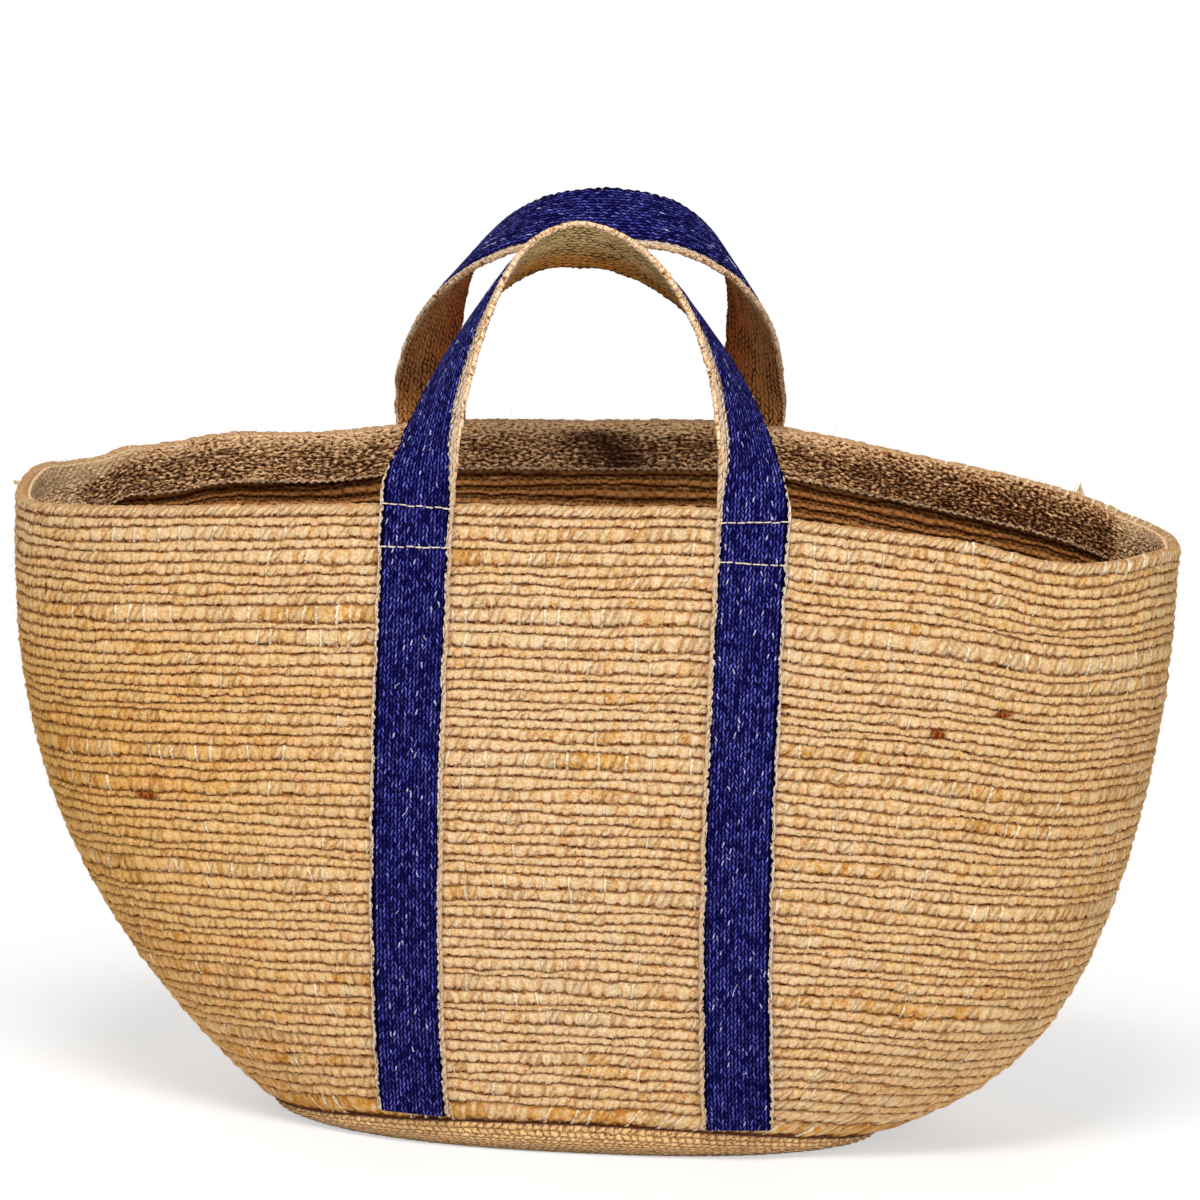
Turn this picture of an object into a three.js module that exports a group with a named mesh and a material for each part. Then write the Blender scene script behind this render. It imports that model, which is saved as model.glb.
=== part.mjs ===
// Jute shopping basket: an oval basket of sewn rope rows that flares from a woven base to a
// wide rim, with two webbing handles whose outer face carries a navy band.
// Millimetres, +Z up. The origin is on the floor under the middle of the basket, the front
// faces -Y and the long side lies along X.

import * as THREE from "three";

// Rim and wall
const rimHalfWidth = 290;
const rimHalfDepth = 131;
const rimHeight = 332;
const rimEndDrop = 25;
const rimPlanExponent = 2.7;
const rimDropPower = 2;
const wallThickness = 5.6;
const rimRopeHeight = 6;
const rimRopeSquareness = 0.8;

// Foot of the wall, where it is sewn to the base
const footHalfWidth = 130;
const footHalfDepth = 90;
const footPlanExponent = 2.4;
const seamHeightFront = 16;
const seamHeightEnd = 6;
const widthFlarePower = 2.4;
const widthFlareEase = 0.62;
const depthFlarePower = 2;

// The soft wall leans out a little to the right in its lower part
const lowerBulge = 17;
const lowerBulgeHeight = 60;

// Base panel
const floorHalfWidth = 125;
const floorHalfDepth = 85;
const baseThickness = 4;
const turnUpPower = 2;
const outerTurnUpShares = [0.4, 0.75];
const innerTurnUpShare = 0.6;

// Woven tape inside the rim
const facingDepth = 28;
const facingThickness = 1.5;
const facingTopInset = 1;

// Straps and navy bands
const strapWidth = 36;
const strapThickness = 2.2;
const bandWidth = 29.4;
const bandThickness = 1.3;
const strapSeamOverlap = 1;
const stitchHeight = 1.2;
const stitchThickness = 0.6;
const rimStitchDrop = 2;
const stitchSpacing = 22;

// The gaps that touching pieces keep
const gap = 0.3;
const seamGap = 0.5;
const loopGap = 0.5;

// Legs on the wall: where their middle lies, and how far apart they are
const legMiddle = -6.3;
const legHalfSpacing = 81.7;
const legFootHalfSpacing = 80;
const legFootShift = 11.5;
const legFootShiftPower = 3;

// Handle loops, as they stand up and lean in over the basket
const frontLoop = {
  side: -1,
  middle: -6,
  halfSpan: 82,
  apexShift: -5.5,
  sway: 2.7,
  shoulderPuff: 0,
  fullness: 0.9,
  climb: 1.17,
  rise: 115,
  lean: 97,
  leanEase: 1.7,
  twistEase: 0.585,
};
const backLoop = {
  side: 1,
  middle: -7.5,
  halfSpan: 82.5,
  apexShift: 7.5,
  sway: 1,
  shoulderPuff: 5,
  fullness: 0.68,
  climb: 1.09,
  rise: 119,
  lean: 98,
  leanEase: 1.72,
  twistEase: 0.71,
};
const loopCup = 1.2;
const loopEndBevel = THREE.MathUtils.degToRad(13);
const loopTwistStart = 0.2;

// Mesh steps
const stepsAround = 72;
const wallSteps = 12;
const legSteps = 14;
const footStepEase = 1.4;
const loopSteps = 44;
const bandSteps = 4;
const ropeSides = 8;

// Steps over which a direction is measured
const heightStep = 1;
const angleStep = 0.002;
const turnStep = 0.001;

function signedPower(value, power) {
  return Math.sign(value) * Math.abs(value) ** power;
}

function mix(from, to, share) {
  return from + (to - from) * share;
}

function clamp01(value) {
  return Math.min(Math.max(value, 0), 1);
}

// Half width of the outer wall at a height
function halfWidthAt(z) {
  const share = clamp01(z / (rimHeight - rimEndDrop));
  return mix(footHalfWidth, rimHalfWidth, (1 - (1 - share) ** widthFlarePower) ** widthFlareEase);
}

// Half depth of the outer wall at a height
function halfDepthAt(z) {
  const share = clamp01(z / rimHeight);
  return mix(footHalfDepth, rimHalfDepth, 1 - (1 - share) ** depthFlarePower);
}

function planExponentAt(z) {
  return mix(footPlanExponent, rimPlanExponent, clamp01(z / (rimHeight - rimEndDrop)));
}

function bulgeAt(z) {
  const share = z / lowerBulgeHeight;
  return lowerBulge * share * Math.exp(1 - share) * clamp01(1 - z / (rimHeight - rimEndDrop));
}

// How far round the rim a point lies towards the ends, from 0 at the middle to 1 at an end
function endShare(angle) {
  return Math.abs(Math.cos(angle)) ** (2 / rimPlanExponent);
}

function rimHeightAt(angle) {
  return rimHeight - rimEndDrop * endShare(angle) ** rimDropPower;
}

function seamHeightAt(angle) {
  return mix(seamHeightFront, seamHeightEnd, endShare(angle) ** rimDropPower);
}

// A point on the outer wall: an angle round the basket and a height
function wallPoint(angle, z) {
  const power = 2 / planExponentAt(z);
  return new THREE.Vector3(
    halfWidthAt(z) * signedPower(Math.cos(angle), power) + bulgeAt(z),
    halfDepthAt(z) * signedPower(Math.sin(angle), power),
    z,
  );
}

// The directions of the wall at a point: up along it, and straight out of it
function wallDirections(angle, z) {
  const up = wallPoint(angle, z + heightStep).sub(wallPoint(angle, z - heightStep)).normalize();
  const along = wallPoint(angle + angleStep, z).sub(wallPoint(angle - angleStep, z)).normalize();
  return { up, out: along.cross(up).normalize() };
}

// A point at a depth inside the outer wall, and shifted up along it
function insideWall(angle, z, depth, shiftUp = 0) {
  const { up, out } = wallDirections(angle, z);
  return wallPoint(angle, z).addScaledVector(out, -depth).addScaledVector(up, shiftUp);
}

// Depth (Y) of the outer wall at a given X and height, on one side
function wallDepthAt(x, z) {
  const power = planExponentAt(z);
  const share = Math.abs((x - bulgeAt(z)) / halfWidthAt(z)) ** power;
  return halfDepthAt(z) * (1 - share) ** (1 / power);
}

// Makes a geometry of points and triangles, and turns it right side out
function closedGeometry(points, triangles) {
  let volume = 0;
  for (const [a, b, c] of triangles) {
    volume += points[a].dot(new THREE.Vector3().crossVectors(points[b], points[c]));
  }
  const order = volume < 0 ? [0, 2, 1] : [0, 1, 2];
  const geometry = new THREE.BufferGeometry();
  const coordinates = points.flatMap((point) => point.toArray());
  geometry.setAttribute("position", new THREE.Float32BufferAttribute(coordinates, 3));
  geometry.setIndex(triangles.flatMap((triangle) => order.map((corner) => triangle[corner])));
  geometry.computeVertexNormals();
  return geometry;
}

function bandOfTriangles(triangles, lower, upper) {
  for (let i = 0; i < lower.length; i += 1) {
    const next = (i + 1) % lower.length;
    triangles.push([lower[i], lower[next], upper[next]]);
    triangles.push([lower[i], upper[next], upper[i]]);
  }
}

function ringsOfPoints(profile) {
  const points = [];
  const rings = profile.map((pointAt) => {
    const ring = [];
    for (let i = 0; i < stepsAround; i += 1) {
      ring.push(points.length);
      points.push(pointAt((2 * Math.PI * i) / stepsAround));
    }
    return ring;
  });
  return { points, rings };
}

// A solid that goes round the basket and closes on itself: each entry of the profile gives
// the point of one ring at an angle
function ringSolid(profile) {
  const { points, rings } = ringsOfPoints(profile);
  const triangles = [];
  rings.forEach((ring, i) => bandOfTriangles(triangles, ring, rings[(i + 1) % rings.length]));
  return closedGeometry(points, triangles);
}

// A solid like a dish: rings between a middle point below and a middle point above
function dishSolid(below, profile, above) {
  const { points, rings } = ringsOfPoints(profile);
  const triangles = [];
  for (let i = 0; i + 1 < rings.length; i += 1) {
    bandOfTriangles(triangles, rings[i], rings[i + 1]);
  }
  const first = rings[0];
  const last = rings[rings.length - 1];
  points.push(below, above);
  for (let i = 0; i < stepsAround; i += 1) {
    const next = (i + 1) % stepsAround;
    triangles.push([points.length - 2, first[next], first[i]]);
    triangles.push([points.length - 1, last[i], last[next]]);
  }
  return closedGeometry(points, triangles);
}

// A flat strip with a thickness: two grids of points, its inner face and its outer face
function stripSolid(inner, outer) {
  const rows = inner.length;
  const columns = inner[0].length;
  const points = [...inner.flat(), ...outer.flat()];
  const at = (layer, row, column) => layer * rows * columns + row * columns + column;
  const border = [];
  for (let column = 0; column < columns; column += 1) {
    border.push([0, column]);
  }
  for (let row = 1; row < rows; row += 1) {
    border.push([row, columns - 1]);
  }
  for (let column = columns - 2; column >= 0; column -= 1) {
    border.push([rows - 1, column]);
  }
  for (let row = rows - 2; row > 0; row -= 1) {
    border.push([row, 0]);
  }
  const triangles = [];
  for (let row = 0; row + 1 < rows; row += 1) {
    for (let column = 0; column + 1 < columns; column += 1) {
      const corners = [[row, column], [row, column + 1], [row + 1, column + 1], [row + 1, column]];
      const [a, b, c, d] = corners.map(([r, s]) => at(1, r, s));
      const [e, f, g, h] = corners.map(([r, s]) => at(0, r, s));
      triangles.push([a, b, c], [a, c, d], [e, g, f], [e, h, g]);
    }
  }
  border.forEach(([row, column], i) => {
    const [nextRow, nextColumn] = border[(i + 1) % border.length];
    triangles.push([at(0, row, column), at(0, nextRow, nextColumn), at(1, nextRow, nextColumn)]);
    triangles.push([at(0, row, column), at(1, nextRow, nextColumn), at(1, row, column)]);
  });
  return closedGeometry(points, triangles);
}

// The base panel: flat on the floor, with its edge turned up to the seam
function basePanel() {
  const floorRing = (inset, z) => (angle) => {
    const power = 2 / footPlanExponent;
    return new THREE.Vector3(
      (floorHalfWidth - inset) * signedPower(Math.cos(angle), power),
      (floorHalfDepth - inset) * signedPower(Math.sin(angle), power),
      z,
    );
  };
  const seamRing = (depth) => (angle) => insideWall(angle, seamHeightAt(angle), depth, -seamGap);
  const turnUp = (fromRing, toRing, share) => (angle) => {
    const from = fromRing(angle);
    const to = toRing(angle);
    const spread = Math.sin((share * Math.PI) / 2);
    return new THREE.Vector3(
      mix(from.x, to.x, spread),
      mix(from.y, to.y, spread),
      mix(from.z, to.z, share ** turnUpPower),
    );
  };
  const under = floorRing(0, 0);
  const top = floorRing(baseThickness, baseThickness);
  return dishSolid(
    new THREE.Vector3(0, 0, 0),
    [
      under,
      ...outerTurnUpShares.map((share) => turnUp(under, seamRing(0), share)),
      seamRing(0),
      seamRing(wallThickness),
      turnUp(top, seamRing(wallThickness), innerTurnUpShare),
      top,
    ],
    new THREE.Vector3(0, 0, baseThickness),
  );
}

// Height of the wall's upper edge, under the rim rope
function wallTopAt(angle) {
  return rimHeightAt(angle) - rimRopeHeight - gap;
}

function ropeWall() {
  const outer = [];
  const inner = [];
  for (let i = 0; i <= wallSteps; i += 1) {
    const share = (i / wallSteps) ** footStepEase;
    const height = (angle) => mix(seamHeightAt(angle), wallTopAt(angle), share);
    outer.push((angle) => wallPoint(angle, height(angle)));
    inner.unshift((angle) => insideWall(angle, height(angle), wallThickness));
  }
  return ringSolid([...outer, ...inner]);
}

function rimRope() {
  const profile = [];
  for (let i = 0; i < ropeSides; i += 1) {
    const turn = (2 * Math.PI * (i + 0.5)) / ropeSides;
    const depth = (wallThickness / 2) * (1 - signedPower(Math.cos(turn), rimRopeSquareness));
    const lift = (rimRopeHeight / 2) * signedPower(Math.sin(turn), rimRopeSquareness);
    profile.push((angle) => insideWall(angle, rimHeightAt(angle) - rimRopeHeight / 2, depth, lift));
  }
  return ringSolid(profile);
}

function rimFacing() {
  const near = wallThickness + gap;
  const far = near + facingThickness;
  const heights = [facingDepth + facingTopInset, facingDepth / 2, facingTopInset];
  const edge = (drop, depth) => (angle) => insideWall(angle, rimHeightAt(angle) - drop, depth);
  return ringSolid([
    ...heights.map((drop) => edge(drop, near)),
    ...heights.toReversed().map((drop) => edge(drop, far)),
  ]);
}

// Where the straps leave the wall, at the height of the rim over the legs
const strapTop = rimHeight - rimEndDrop * (legHalfSpacing / rimHalfWidth) ** rimDropPower;

// Places across a strap, from its middle: even steps under the navy band, then its own edges
const bandPlaces = Array.from({ length: bandSteps + 1 }, (_, i) => bandWidth * (i / bandSteps - 0.5));
const strapPlaces = [-strapWidth / 2, ...bandPlaces, strapWidth / 2];

function legCentre(leg, z) {
  const share = clamp01(z / rimHeight);
  const halfSpacing = mix(legFootHalfSpacing, legHalfSpacing, Math.sqrt(share));
  return legMiddle + legFootShift * (1 - share) ** legFootShiftPower + leg * halfSpacing;
}

// Two grids of points that lie on the wall, from one height to another
function onWall(side, leg, places, heights, from, thickness) {
  const layer = (outward) =>
    heights.map((z) =>
      places.map((place) => {
        const x = legCentre(leg, z) + place;
        return new THREE.Vector3(x, side * (wallDepthAt(x, z) + outward), z);
      }),
    );
  return stripSolid(layer(from), layer(from + thickness));
}

const bandFrom = gap + strapThickness + gap;
const stitchFrom = bandFrom + bandThickness + gap;
const strapFoot = seamHeightFront + strapSeamOverlap;
const legHeights = Array.from(
  { length: legSteps + 1 },
  (_, i) => mix(strapFoot, strapTop, (i / legSteps) ** footStepEase),
);

function strapLeg(side, leg) {
  return onWall(side, leg, strapPlaces, legHeights, gap, strapThickness);
}

function legBand(side, leg) {
  return onWall(side, leg, bandPlaces, legHeights, bandFrom, bandThickness);
}

function stitchLine(side, leg, drop) {
  const middle = strapTop - drop;
  const heights = [middle - stitchHeight / 2, middle + stitchHeight / 2];
  return onWall(side, leg, bandPlaces, heights, stitchFrom, stitchThickness);
}

// Middle of the strap's thickness, measured out from the wall
const strapMiddle = (gap + bandFrom + bandThickness) / 2;
const strapHalfThickness = strapMiddle - gap;
const loopStartDepth = wallDepthAt(legMiddle + legHalfSpacing, strapTop) + strapMiddle;

function loopPoint(loop, turn) {
  const across = Math.cos(turn);
  const upward = Math.sin(turn);
  const height = upward ** loop.climb;
  const ease = loop.leanEase * height ** 2 + (1 - loop.leanEase) * height ** 3;
  const shoulder = 4 * upward ** 2 * across ** 2;
  const reach = loop.halfSpan * Math.abs(across) ** loop.fullness + loop.shoulderPuff * shoulder;
  return new THREE.Vector3(
    loop.middle + loop.apexShift * upward ** 2 + loop.sway * shoulder - Math.sign(across) * reach,
    loop.side * (loopStartDepth - loop.lean * ease),
    strapTop + loopGap + loop.rise * height,
  );
}

// The strap's frame at a place on the loop: along it, out of its navy face, and across it.
// The face looks forward at the legs and turns to look away from the loop's middle on top.
function loopFrame(loop, turn) {
  const before = loopPoint(loop, Math.max(turn - turnStep, 0));
  const after = loopPoint(loop, Math.min(turn + turnStep, Math.PI));
  const along = after.sub(before).normalize();
  const height = Math.sin(turn) ** loop.climb;
  const easeSlope = 2 * loop.leanEase * height + 3 * (1 - loop.leanEase) * height ** 2;
  const slope = Math.atan((loop.lean / loop.rise) * easeSlope);
  const forward = new THREE.Vector3(0, loop.side * Math.cos(slope), Math.sin(slope));
  forward.addScaledVector(along, -forward.dot(along)).normalize();
  const away = new THREE.Vector3().crossVectors(along, forward).multiplyScalar(loop.side);
  const share = Math.min(turn, Math.PI - turn) / (Math.PI / 2);
  const start = THREE.MathUtils.smoothstep(share, 0, loopTwistStart);
  const twist = (Math.PI / 2) * share ** loop.twistEase * start;
  const out = forward.multiplyScalar(Math.cos(twist)).addScaledVector(away, Math.sin(twist));
  return { out, across: new THREE.Vector3().crossVectors(along, out) };
}

// One layer of a loop: its places across, and its span through the strap's thickness
function loopStrip(loop, places, from, thickness) {
  const layer = (outward) => {
    const rows = [];
    for (let i = 0; i <= loopSteps; i += 1) {
      const turn = (Math.PI * i) / loopSteps;
      const centre = loopPoint(loop, turn);
      const { out, across } = loopFrame(loop, turn);
      const atEnd = i === 0 || i === loopSteps;
      const bevel = atEnd ? Math.tan(loopEndBevel) * (strapHalfThickness - outward) : 0;
      rows.push(
        places.map((place) => {
          const cup = loopCup * Math.sin(turn) * ((2 * place) / strapWidth) ** 2;
          const point = centre.clone().addScaledVector(across, place);
          point.addScaledVector(out, outward - cup);
          point.z += bevel;
          return point;
        }),
      );
    }
    return rows;
  };
  return stripSolid(layer(from), layer(from + thickness));
}

function loopWebbing(loop) {
  return loopStrip(loop, strapPlaces, -strapHalfThickness, strapThickness);
}

function loopBand(loop) {
  return loopStrip(loop, bandPlaces, strapHalfThickness - bandThickness, bandThickness);
}

const finishes = {
  rope: { color: 0xc79c64, roughness: 0.9, metalness: 0 },
  baseCloth: { color: 0xc2985f, roughness: 0.92, metalness: 0 },
  facing: { color: 0xa98658, roughness: 0.92, metalness: 0 },
  webbing: { color: 0xd6b98e, roughness: 0.88, metalness: 0 },
  navy: { color: 0x20235e, roughness: 0.85, metalness: 0 },
  thread: { color: 0xe9e4d8, roughness: 0.8, metalness: 0 },
};

function piece(name, geometry, finish) {
  const mesh = new THREE.Mesh(geometry, new THREE.MeshStandardMaterial(finishes[finish]));
  mesh.name = name;
  return mesh;
}

const basket = new THREE.Group();
basket.add(piece("base_panel", basePanel(), "baseCloth"));
basket.add(piece("rope_wall", ropeWall(), "rope"));
basket.add(piece("rim_rope", rimRope(), "rope"));
basket.add(piece("rim_facing", rimFacing(), "facing"));

const sides = { front: -1, back: 1 };
const legs = { left: -1, right: 1 };
for (const [sideName, side] of Object.entries(sides)) {
  for (const [legName, leg] of Object.entries(legs)) {
    const name = `${sideName}_${legName}`;
    basket.add(piece(`${name}_strap_leg`, strapLeg(side, leg), "webbing"));
    basket.add(piece(`${name}_navy_band`, legBand(side, leg), "navy"));
    const stitchDrops = { rim: rimStitchDrop, lower: rimStitchDrop + stitchSpacing };
    for (const [place, drop] of Object.entries(stitchDrops)) {
      basket.add(piece(`${name}_${place}_stitch`, stitchLine(side, leg, drop), "thread"));
    }
  }
}

basket.add(piece("front_handle_webbing", loopWebbing(frontLoop), "webbing"));
basket.add(piece("front_handle_navy_band", loopBand(frontLoop), "navy"));
basket.add(piece("back_handle_webbing", loopWebbing(backLoop), "webbing"));
basket.add(piece("back_handle_navy_band", loopBand(backLoop), "navy"));

export default basket;
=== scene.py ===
# Jute shopping basket: rope rows sewn into an oval basket, with navy faced webbing handles.
# Lengths are written in millimetres and become metres when a mesh is made.

import math

import bpy
import numpy as np
from mathutils import Matrix, Vector


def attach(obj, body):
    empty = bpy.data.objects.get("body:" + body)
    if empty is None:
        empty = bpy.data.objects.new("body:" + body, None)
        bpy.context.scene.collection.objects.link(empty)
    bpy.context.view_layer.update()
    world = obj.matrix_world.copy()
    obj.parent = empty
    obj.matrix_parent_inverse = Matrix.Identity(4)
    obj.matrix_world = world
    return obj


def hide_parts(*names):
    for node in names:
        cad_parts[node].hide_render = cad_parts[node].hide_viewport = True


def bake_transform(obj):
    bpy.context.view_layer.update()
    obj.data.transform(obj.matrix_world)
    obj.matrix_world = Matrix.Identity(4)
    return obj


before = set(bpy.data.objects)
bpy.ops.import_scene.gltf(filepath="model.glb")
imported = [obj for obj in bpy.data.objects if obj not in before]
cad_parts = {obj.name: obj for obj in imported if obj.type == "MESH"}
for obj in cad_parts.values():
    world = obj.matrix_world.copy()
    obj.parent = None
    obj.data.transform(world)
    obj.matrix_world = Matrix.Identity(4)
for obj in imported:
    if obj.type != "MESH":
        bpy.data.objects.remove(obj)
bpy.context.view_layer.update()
millimetre = 0.001


# Small helpers for numbers

def mix(start, end, share):
    return start + (end - start) * share


def clamp01(value):
    return np.clip(value, 0.0, 1.0)


def smoothStep(value, low, high):
    share = clamp01((value - low) / (high - low))
    return share * share * (3 - 2 * share)


def signedPower(value, power):
    return np.sign(value) * np.abs(value) ** power


def unit(vectors):
    return vectors / np.maximum(np.linalg.norm(vectors, axis=-1, keepdims=True), 1e-12)


def hump(value, middle, spread):
    return np.exp(-(((value - middle) / spread) ** 2))


# A wave that closes on itself: random values at even places, eased from one to the next
def ringNoise(values, share):
    place = (share % 1.0) * len(values)
    before = np.floor(place).astype(int)
    ease = place - before
    ease = ease * ease * (3 - 2 * ease)
    return mix(values[before % len(values)], values[(before + 1) % len(values)], ease)


# Small helpers for meshes

# Quads between the neighbours of a grid of points, and each corner's row and column
def gridFaces(rows, columns, closeRows=False, closeColumns=False):
    i = np.arange(rows if closeRows else rows - 1)
    j = np.arange(columns if closeColumns else columns - 1)
    i, j = (axis.ravel() for axis in np.meshgrid(i, j, indexing="ij"))
    corners = [(i, j), (i + 1, j), (i + 1, j + 1), (i, j + 1)]
    faces = np.stack([(r % rows) * columns + c % columns for r, c in corners], 1)
    places = np.stack([np.stack([r, c], 1) for r, c in corners], 1)
    return faces, places


# Six times the volume that the faces close off: below zero where they face inwards
def signedVolume(points, faces):
    total = 0.0
    for k in range(1, faces.shape[1] - 1):
        a, b, c = points[faces[:, 0]], points[faces[:, k]], points[faces[:, k + 1]]
        total += float((a * np.cross(b, c)).sum())
    return total


# Builds one piece from points in millimetres and a list of (faces, uv) blocks, facing outwards
def makePiece(name, points, blocks, material, values=None):
    if sum(signedVolume(points, faces) for faces, _ in blocks) < 0:
        blocks = [(faces[:, ::-1], None if uv is None else uv[:, ::-1]) for faces, uv in blocks]
    mesh = bpy.data.meshes.new(name)
    mesh.vertices.add(len(points))
    mesh.vertices.foreach_set("co", (points * millimetre).astype(np.float32).ravel())
    corners = np.concatenate([faces.ravel() for faces, _ in blocks])
    sizes = np.concatenate([np.full(len(faces), faces.shape[1]) for faces, _ in blocks])
    mesh.loops.add(len(corners))
    mesh.loops.foreach_set("vertex_index", corners.astype(np.int32))
    mesh.polygons.add(len(sizes))
    mesh.polygons.foreach_set("loop_start", np.concatenate([[0], np.cumsum(sizes)[:-1]]).astype(np.int32))
    mesh.polygons.foreach_set("use_smooth", np.ones(len(sizes), bool))
    if any(uv is not None for _, uv in blocks):
        layer = mesh.uv_layers.new(name="threadMap")
        flat = [np.zeros((faces.size, 2)) if uv is None else uv.reshape(-1, 2) for faces, uv in blocks]
        layer.uv.foreach_set("vector", np.concatenate(flat).astype(np.float32).ravel())
    for label, numbers in (values or {}).items():
        attribute = mesh.attributes.new(label, "FLOAT", "POINT")
        attribute.data.foreach_set("value", numbers.astype(np.float32).ravel())
    mesh.update(calc_edges=True)
    mesh.materials.append(material)
    piece = bpy.data.objects.new(name, mesh)
    bpy.context.scene.collection.objects.link(piece)
    return piece


# Round threads along many paths at once: paths is (threads, steps, 3), radii (threads, steps)
def threadMesh(paths, radii, sides):
    count, steps, _ = paths.shape
    along = unit(np.gradient(paths, axis=1))
    guide = np.where(np.abs(along[:, :1, 2:3]) > 0.8, [[[1.0, 0.0, 0.0]]], [[[0.0, 0.0, 1.0]]])
    right = unit(np.cross(along, np.broadcast_to(guide, along.shape)))
    upward = np.cross(right, along)
    turn = 2 * np.pi * np.arange(sides) / sides
    ring = right[:, :, None] * np.cos(turn)[:, None] + upward[:, :, None] * np.sin(turn)[:, None]
    points = (paths[:, :, None] + ring * radii[:, :, None, None]).reshape(-1, 3)
    faces, _ = gridFaces(steps, sides, closeColumns=True)
    shift = (np.arange(count) * steps * sides)[:, None, None]
    quads = (faces[None] + shift).reshape(-1, 4)
    first = np.arange(sides)[::-1]
    last = np.arange(sides) + (steps - 1) * sides
    caps = (np.stack([first, last])[None] + shift).reshape(-1, sides)
    return points, [(quads, None), (caps, None)]


# The basket's shape. Its sizes are the part's own; the rim's soft waves follow the photograph closer.

basket = {
    "rimHalfWidth": 290.0,
    "rimHalfDepth": 131.0,
    "rimHeight": 332.0,
    "rimEndDrop": 25.0,
    "rimPlanExponent": 2.7,
    "wallThickness": 5.6,
    "rimRopeHeight": 6.0,
    "footHalfWidth": 130.0,
    "footHalfDepth": 90.0,
    "footPlanExponent": 2.4,
    "seamHeightFront": 16.0,
    "seamHeightEnd": 6.0,
    "widthFlarePower": 2.4,
    "widthFlareEase": 0.62,
    "lowerBulge": 17.0,
    "lowerBulgeHeight": 60.0,
    "floorHalfWidth": 125.0,
    "floorHalfDepth": 85.0,
    "baseThickness": 4.0,
}

# Small step round the basket, or along a loop, by which directions are measured
turnStep = 0.002

# Soft waves of the rim: where along X, on the front (-1) or the back (1), how high, how wide
rimWaves = [
    (55, -1, 3.6, 42), (228, -1, -6.0, 34), (-150, -1, -0.6, 80), (281, -1, 3.0, 14),
    (75, 1, 5.6, 62), (-139, 1, -4.6, 42), (-246, 1, -5.0, 20), (272, 1, -2.5, 20),
    (-243, 1, 4.5, 11), (-284, 1, 2.6, 7), (-214, 1, -1.6, 12),
]

# Soft dents and swellings of the wall: X, side, height, how far out, how wide
wallSwellings = [
    (215, -1, 75, 5.0, 70), (-200, -1, 150, -2.5, 80), (0, -1, 200, 1.6, 90),
    (150, 1, 180, 2.5, 80), (-160, 1, 110, 2.0, 70), (20, 1, 250, -3.0, 80),
]


# Height of the rim at its two ends
def endReach():
    return basket["rimHeight"] - basket["rimEndDrop"]


# Half width: foot to rim along 1 - (1 - share) to a power, eased by a second power
def halfWidthAt(z):
    share = clamp01(z / endReach())
    flare = (1 - (1 - share) ** basket["widthFlarePower"]) ** basket["widthFlareEase"]
    return mix(basket["footHalfWidth"], basket["rimHalfWidth"], flare)


# Half depth: foot to rim along a parabola
def halfDepthAt(z):
    share = clamp01(z / basket["rimHeight"])
    return mix(basket["footHalfDepth"], basket["rimHalfDepth"], 1 - (1 - share) ** 2)


# The plan's exponent: evenly from the foot's to the rim's
def planExponentAt(z):
    return mix(basket["footPlanExponent"], basket["rimPlanExponent"], clamp01(z / endReach()))


# The lower wall leans to the right: share times e to one minus share, gone at the rim
def bulgeAt(z):
    share = z / basket["lowerBulgeHeight"]
    return basket["lowerBulge"] * share * np.exp(1 - share) * clamp01(1 - z / endReach())


# 0 at the middles of the long sides, 1 at the two ends
def endShare(angle):
    return np.abs(np.cos(angle)) ** (2 / basket["rimPlanExponent"])


# The rim's waves added up, each a bell curve along X on its own side
def rimWaveAt(angle):
    x = basket["rimHalfWidth"] * signedPower(np.cos(angle), 2 / basket["rimPlanExponent"])
    nearness = np.sin(angle)
    total = np.zeros_like(x)
    for middle, side, height, spread in rimWaves:
        total += height * hump(x, middle, spread) * smoothStep(nearness * side, -0.1, 0.25)
    return total


# The rim: lower towards its ends by the square of the share, plus its waves
def rimHeightAt(angle):
    return basket["rimHeight"] - basket["rimEndDrop"] * endShare(angle) ** 2 + rimWaveAt(angle)


def seamHeightAt(angle):
    return mix(basket["seamHeightFront"], basket["seamHeightEnd"], endShare(angle) ** 2)


# Outer wall: a superellipse in plan whose width, depth and exponent change with height
def plainWall(angle, z):
    power = 2 / planExponentAt(z)
    x = halfWidthAt(z) * signedPower(np.cos(angle), power) + bulgeAt(z)
    y = halfDepthAt(z) * signedPower(np.sin(angle), power)
    return np.stack(np.broadcast_arrays(x, y, z), -1)


# Outward direction of the wall: the cross product of small steps round and up
def wallNormal(angle, z):
    along = plainWall(angle + turnStep, z) - plainWall(angle - turnStep, z)
    upward = plainWall(angle, z + 1) - plainWall(angle, z - 1)
    return unit(np.cross(along, upward))


# How far the soft wall swells out at a point, from the list above
def swellingAt(points):
    x, y, z = points[..., 0], points[..., 1], points[..., 2]
    total = np.zeros_like(x)
    for middle, side, height, reach, spread in wallSwellings:
        distance = ((x - middle) ** 2 + (z - height) ** 2) / spread ** 2
        total += reach * np.exp(-distance) * smoothStep(y * side, -10, 50)
    return total


# A point inside the outer wall by a depth, straight in
def insideWall(angle, z, depth, normalHeight=None):
    points = plainWall(angle, z)
    out = wallNormal(angle, z if normalHeight is None else normalHeight)
    return points + out * (swellingAt(points) - depth)[..., None]


# Half depth of the plain wall at a place along X
def wallDepthAt(x, z):
    power = planExponentAt(z)
    share = clamp01(np.abs((x - bulgeAt(z)) / halfWidthAt(z)) ** power)
    return halfDepthAt(z) * (1 - share) ** (1 / power)


# How far out the wall stands at a place on the front (-1) or the back (1), with its swellings
def wallReach(side, x, z):
    depth = wallDepthAt(x, z)
    return depth + swellingAt(np.stack([x, side * depth, z], -1))


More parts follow.
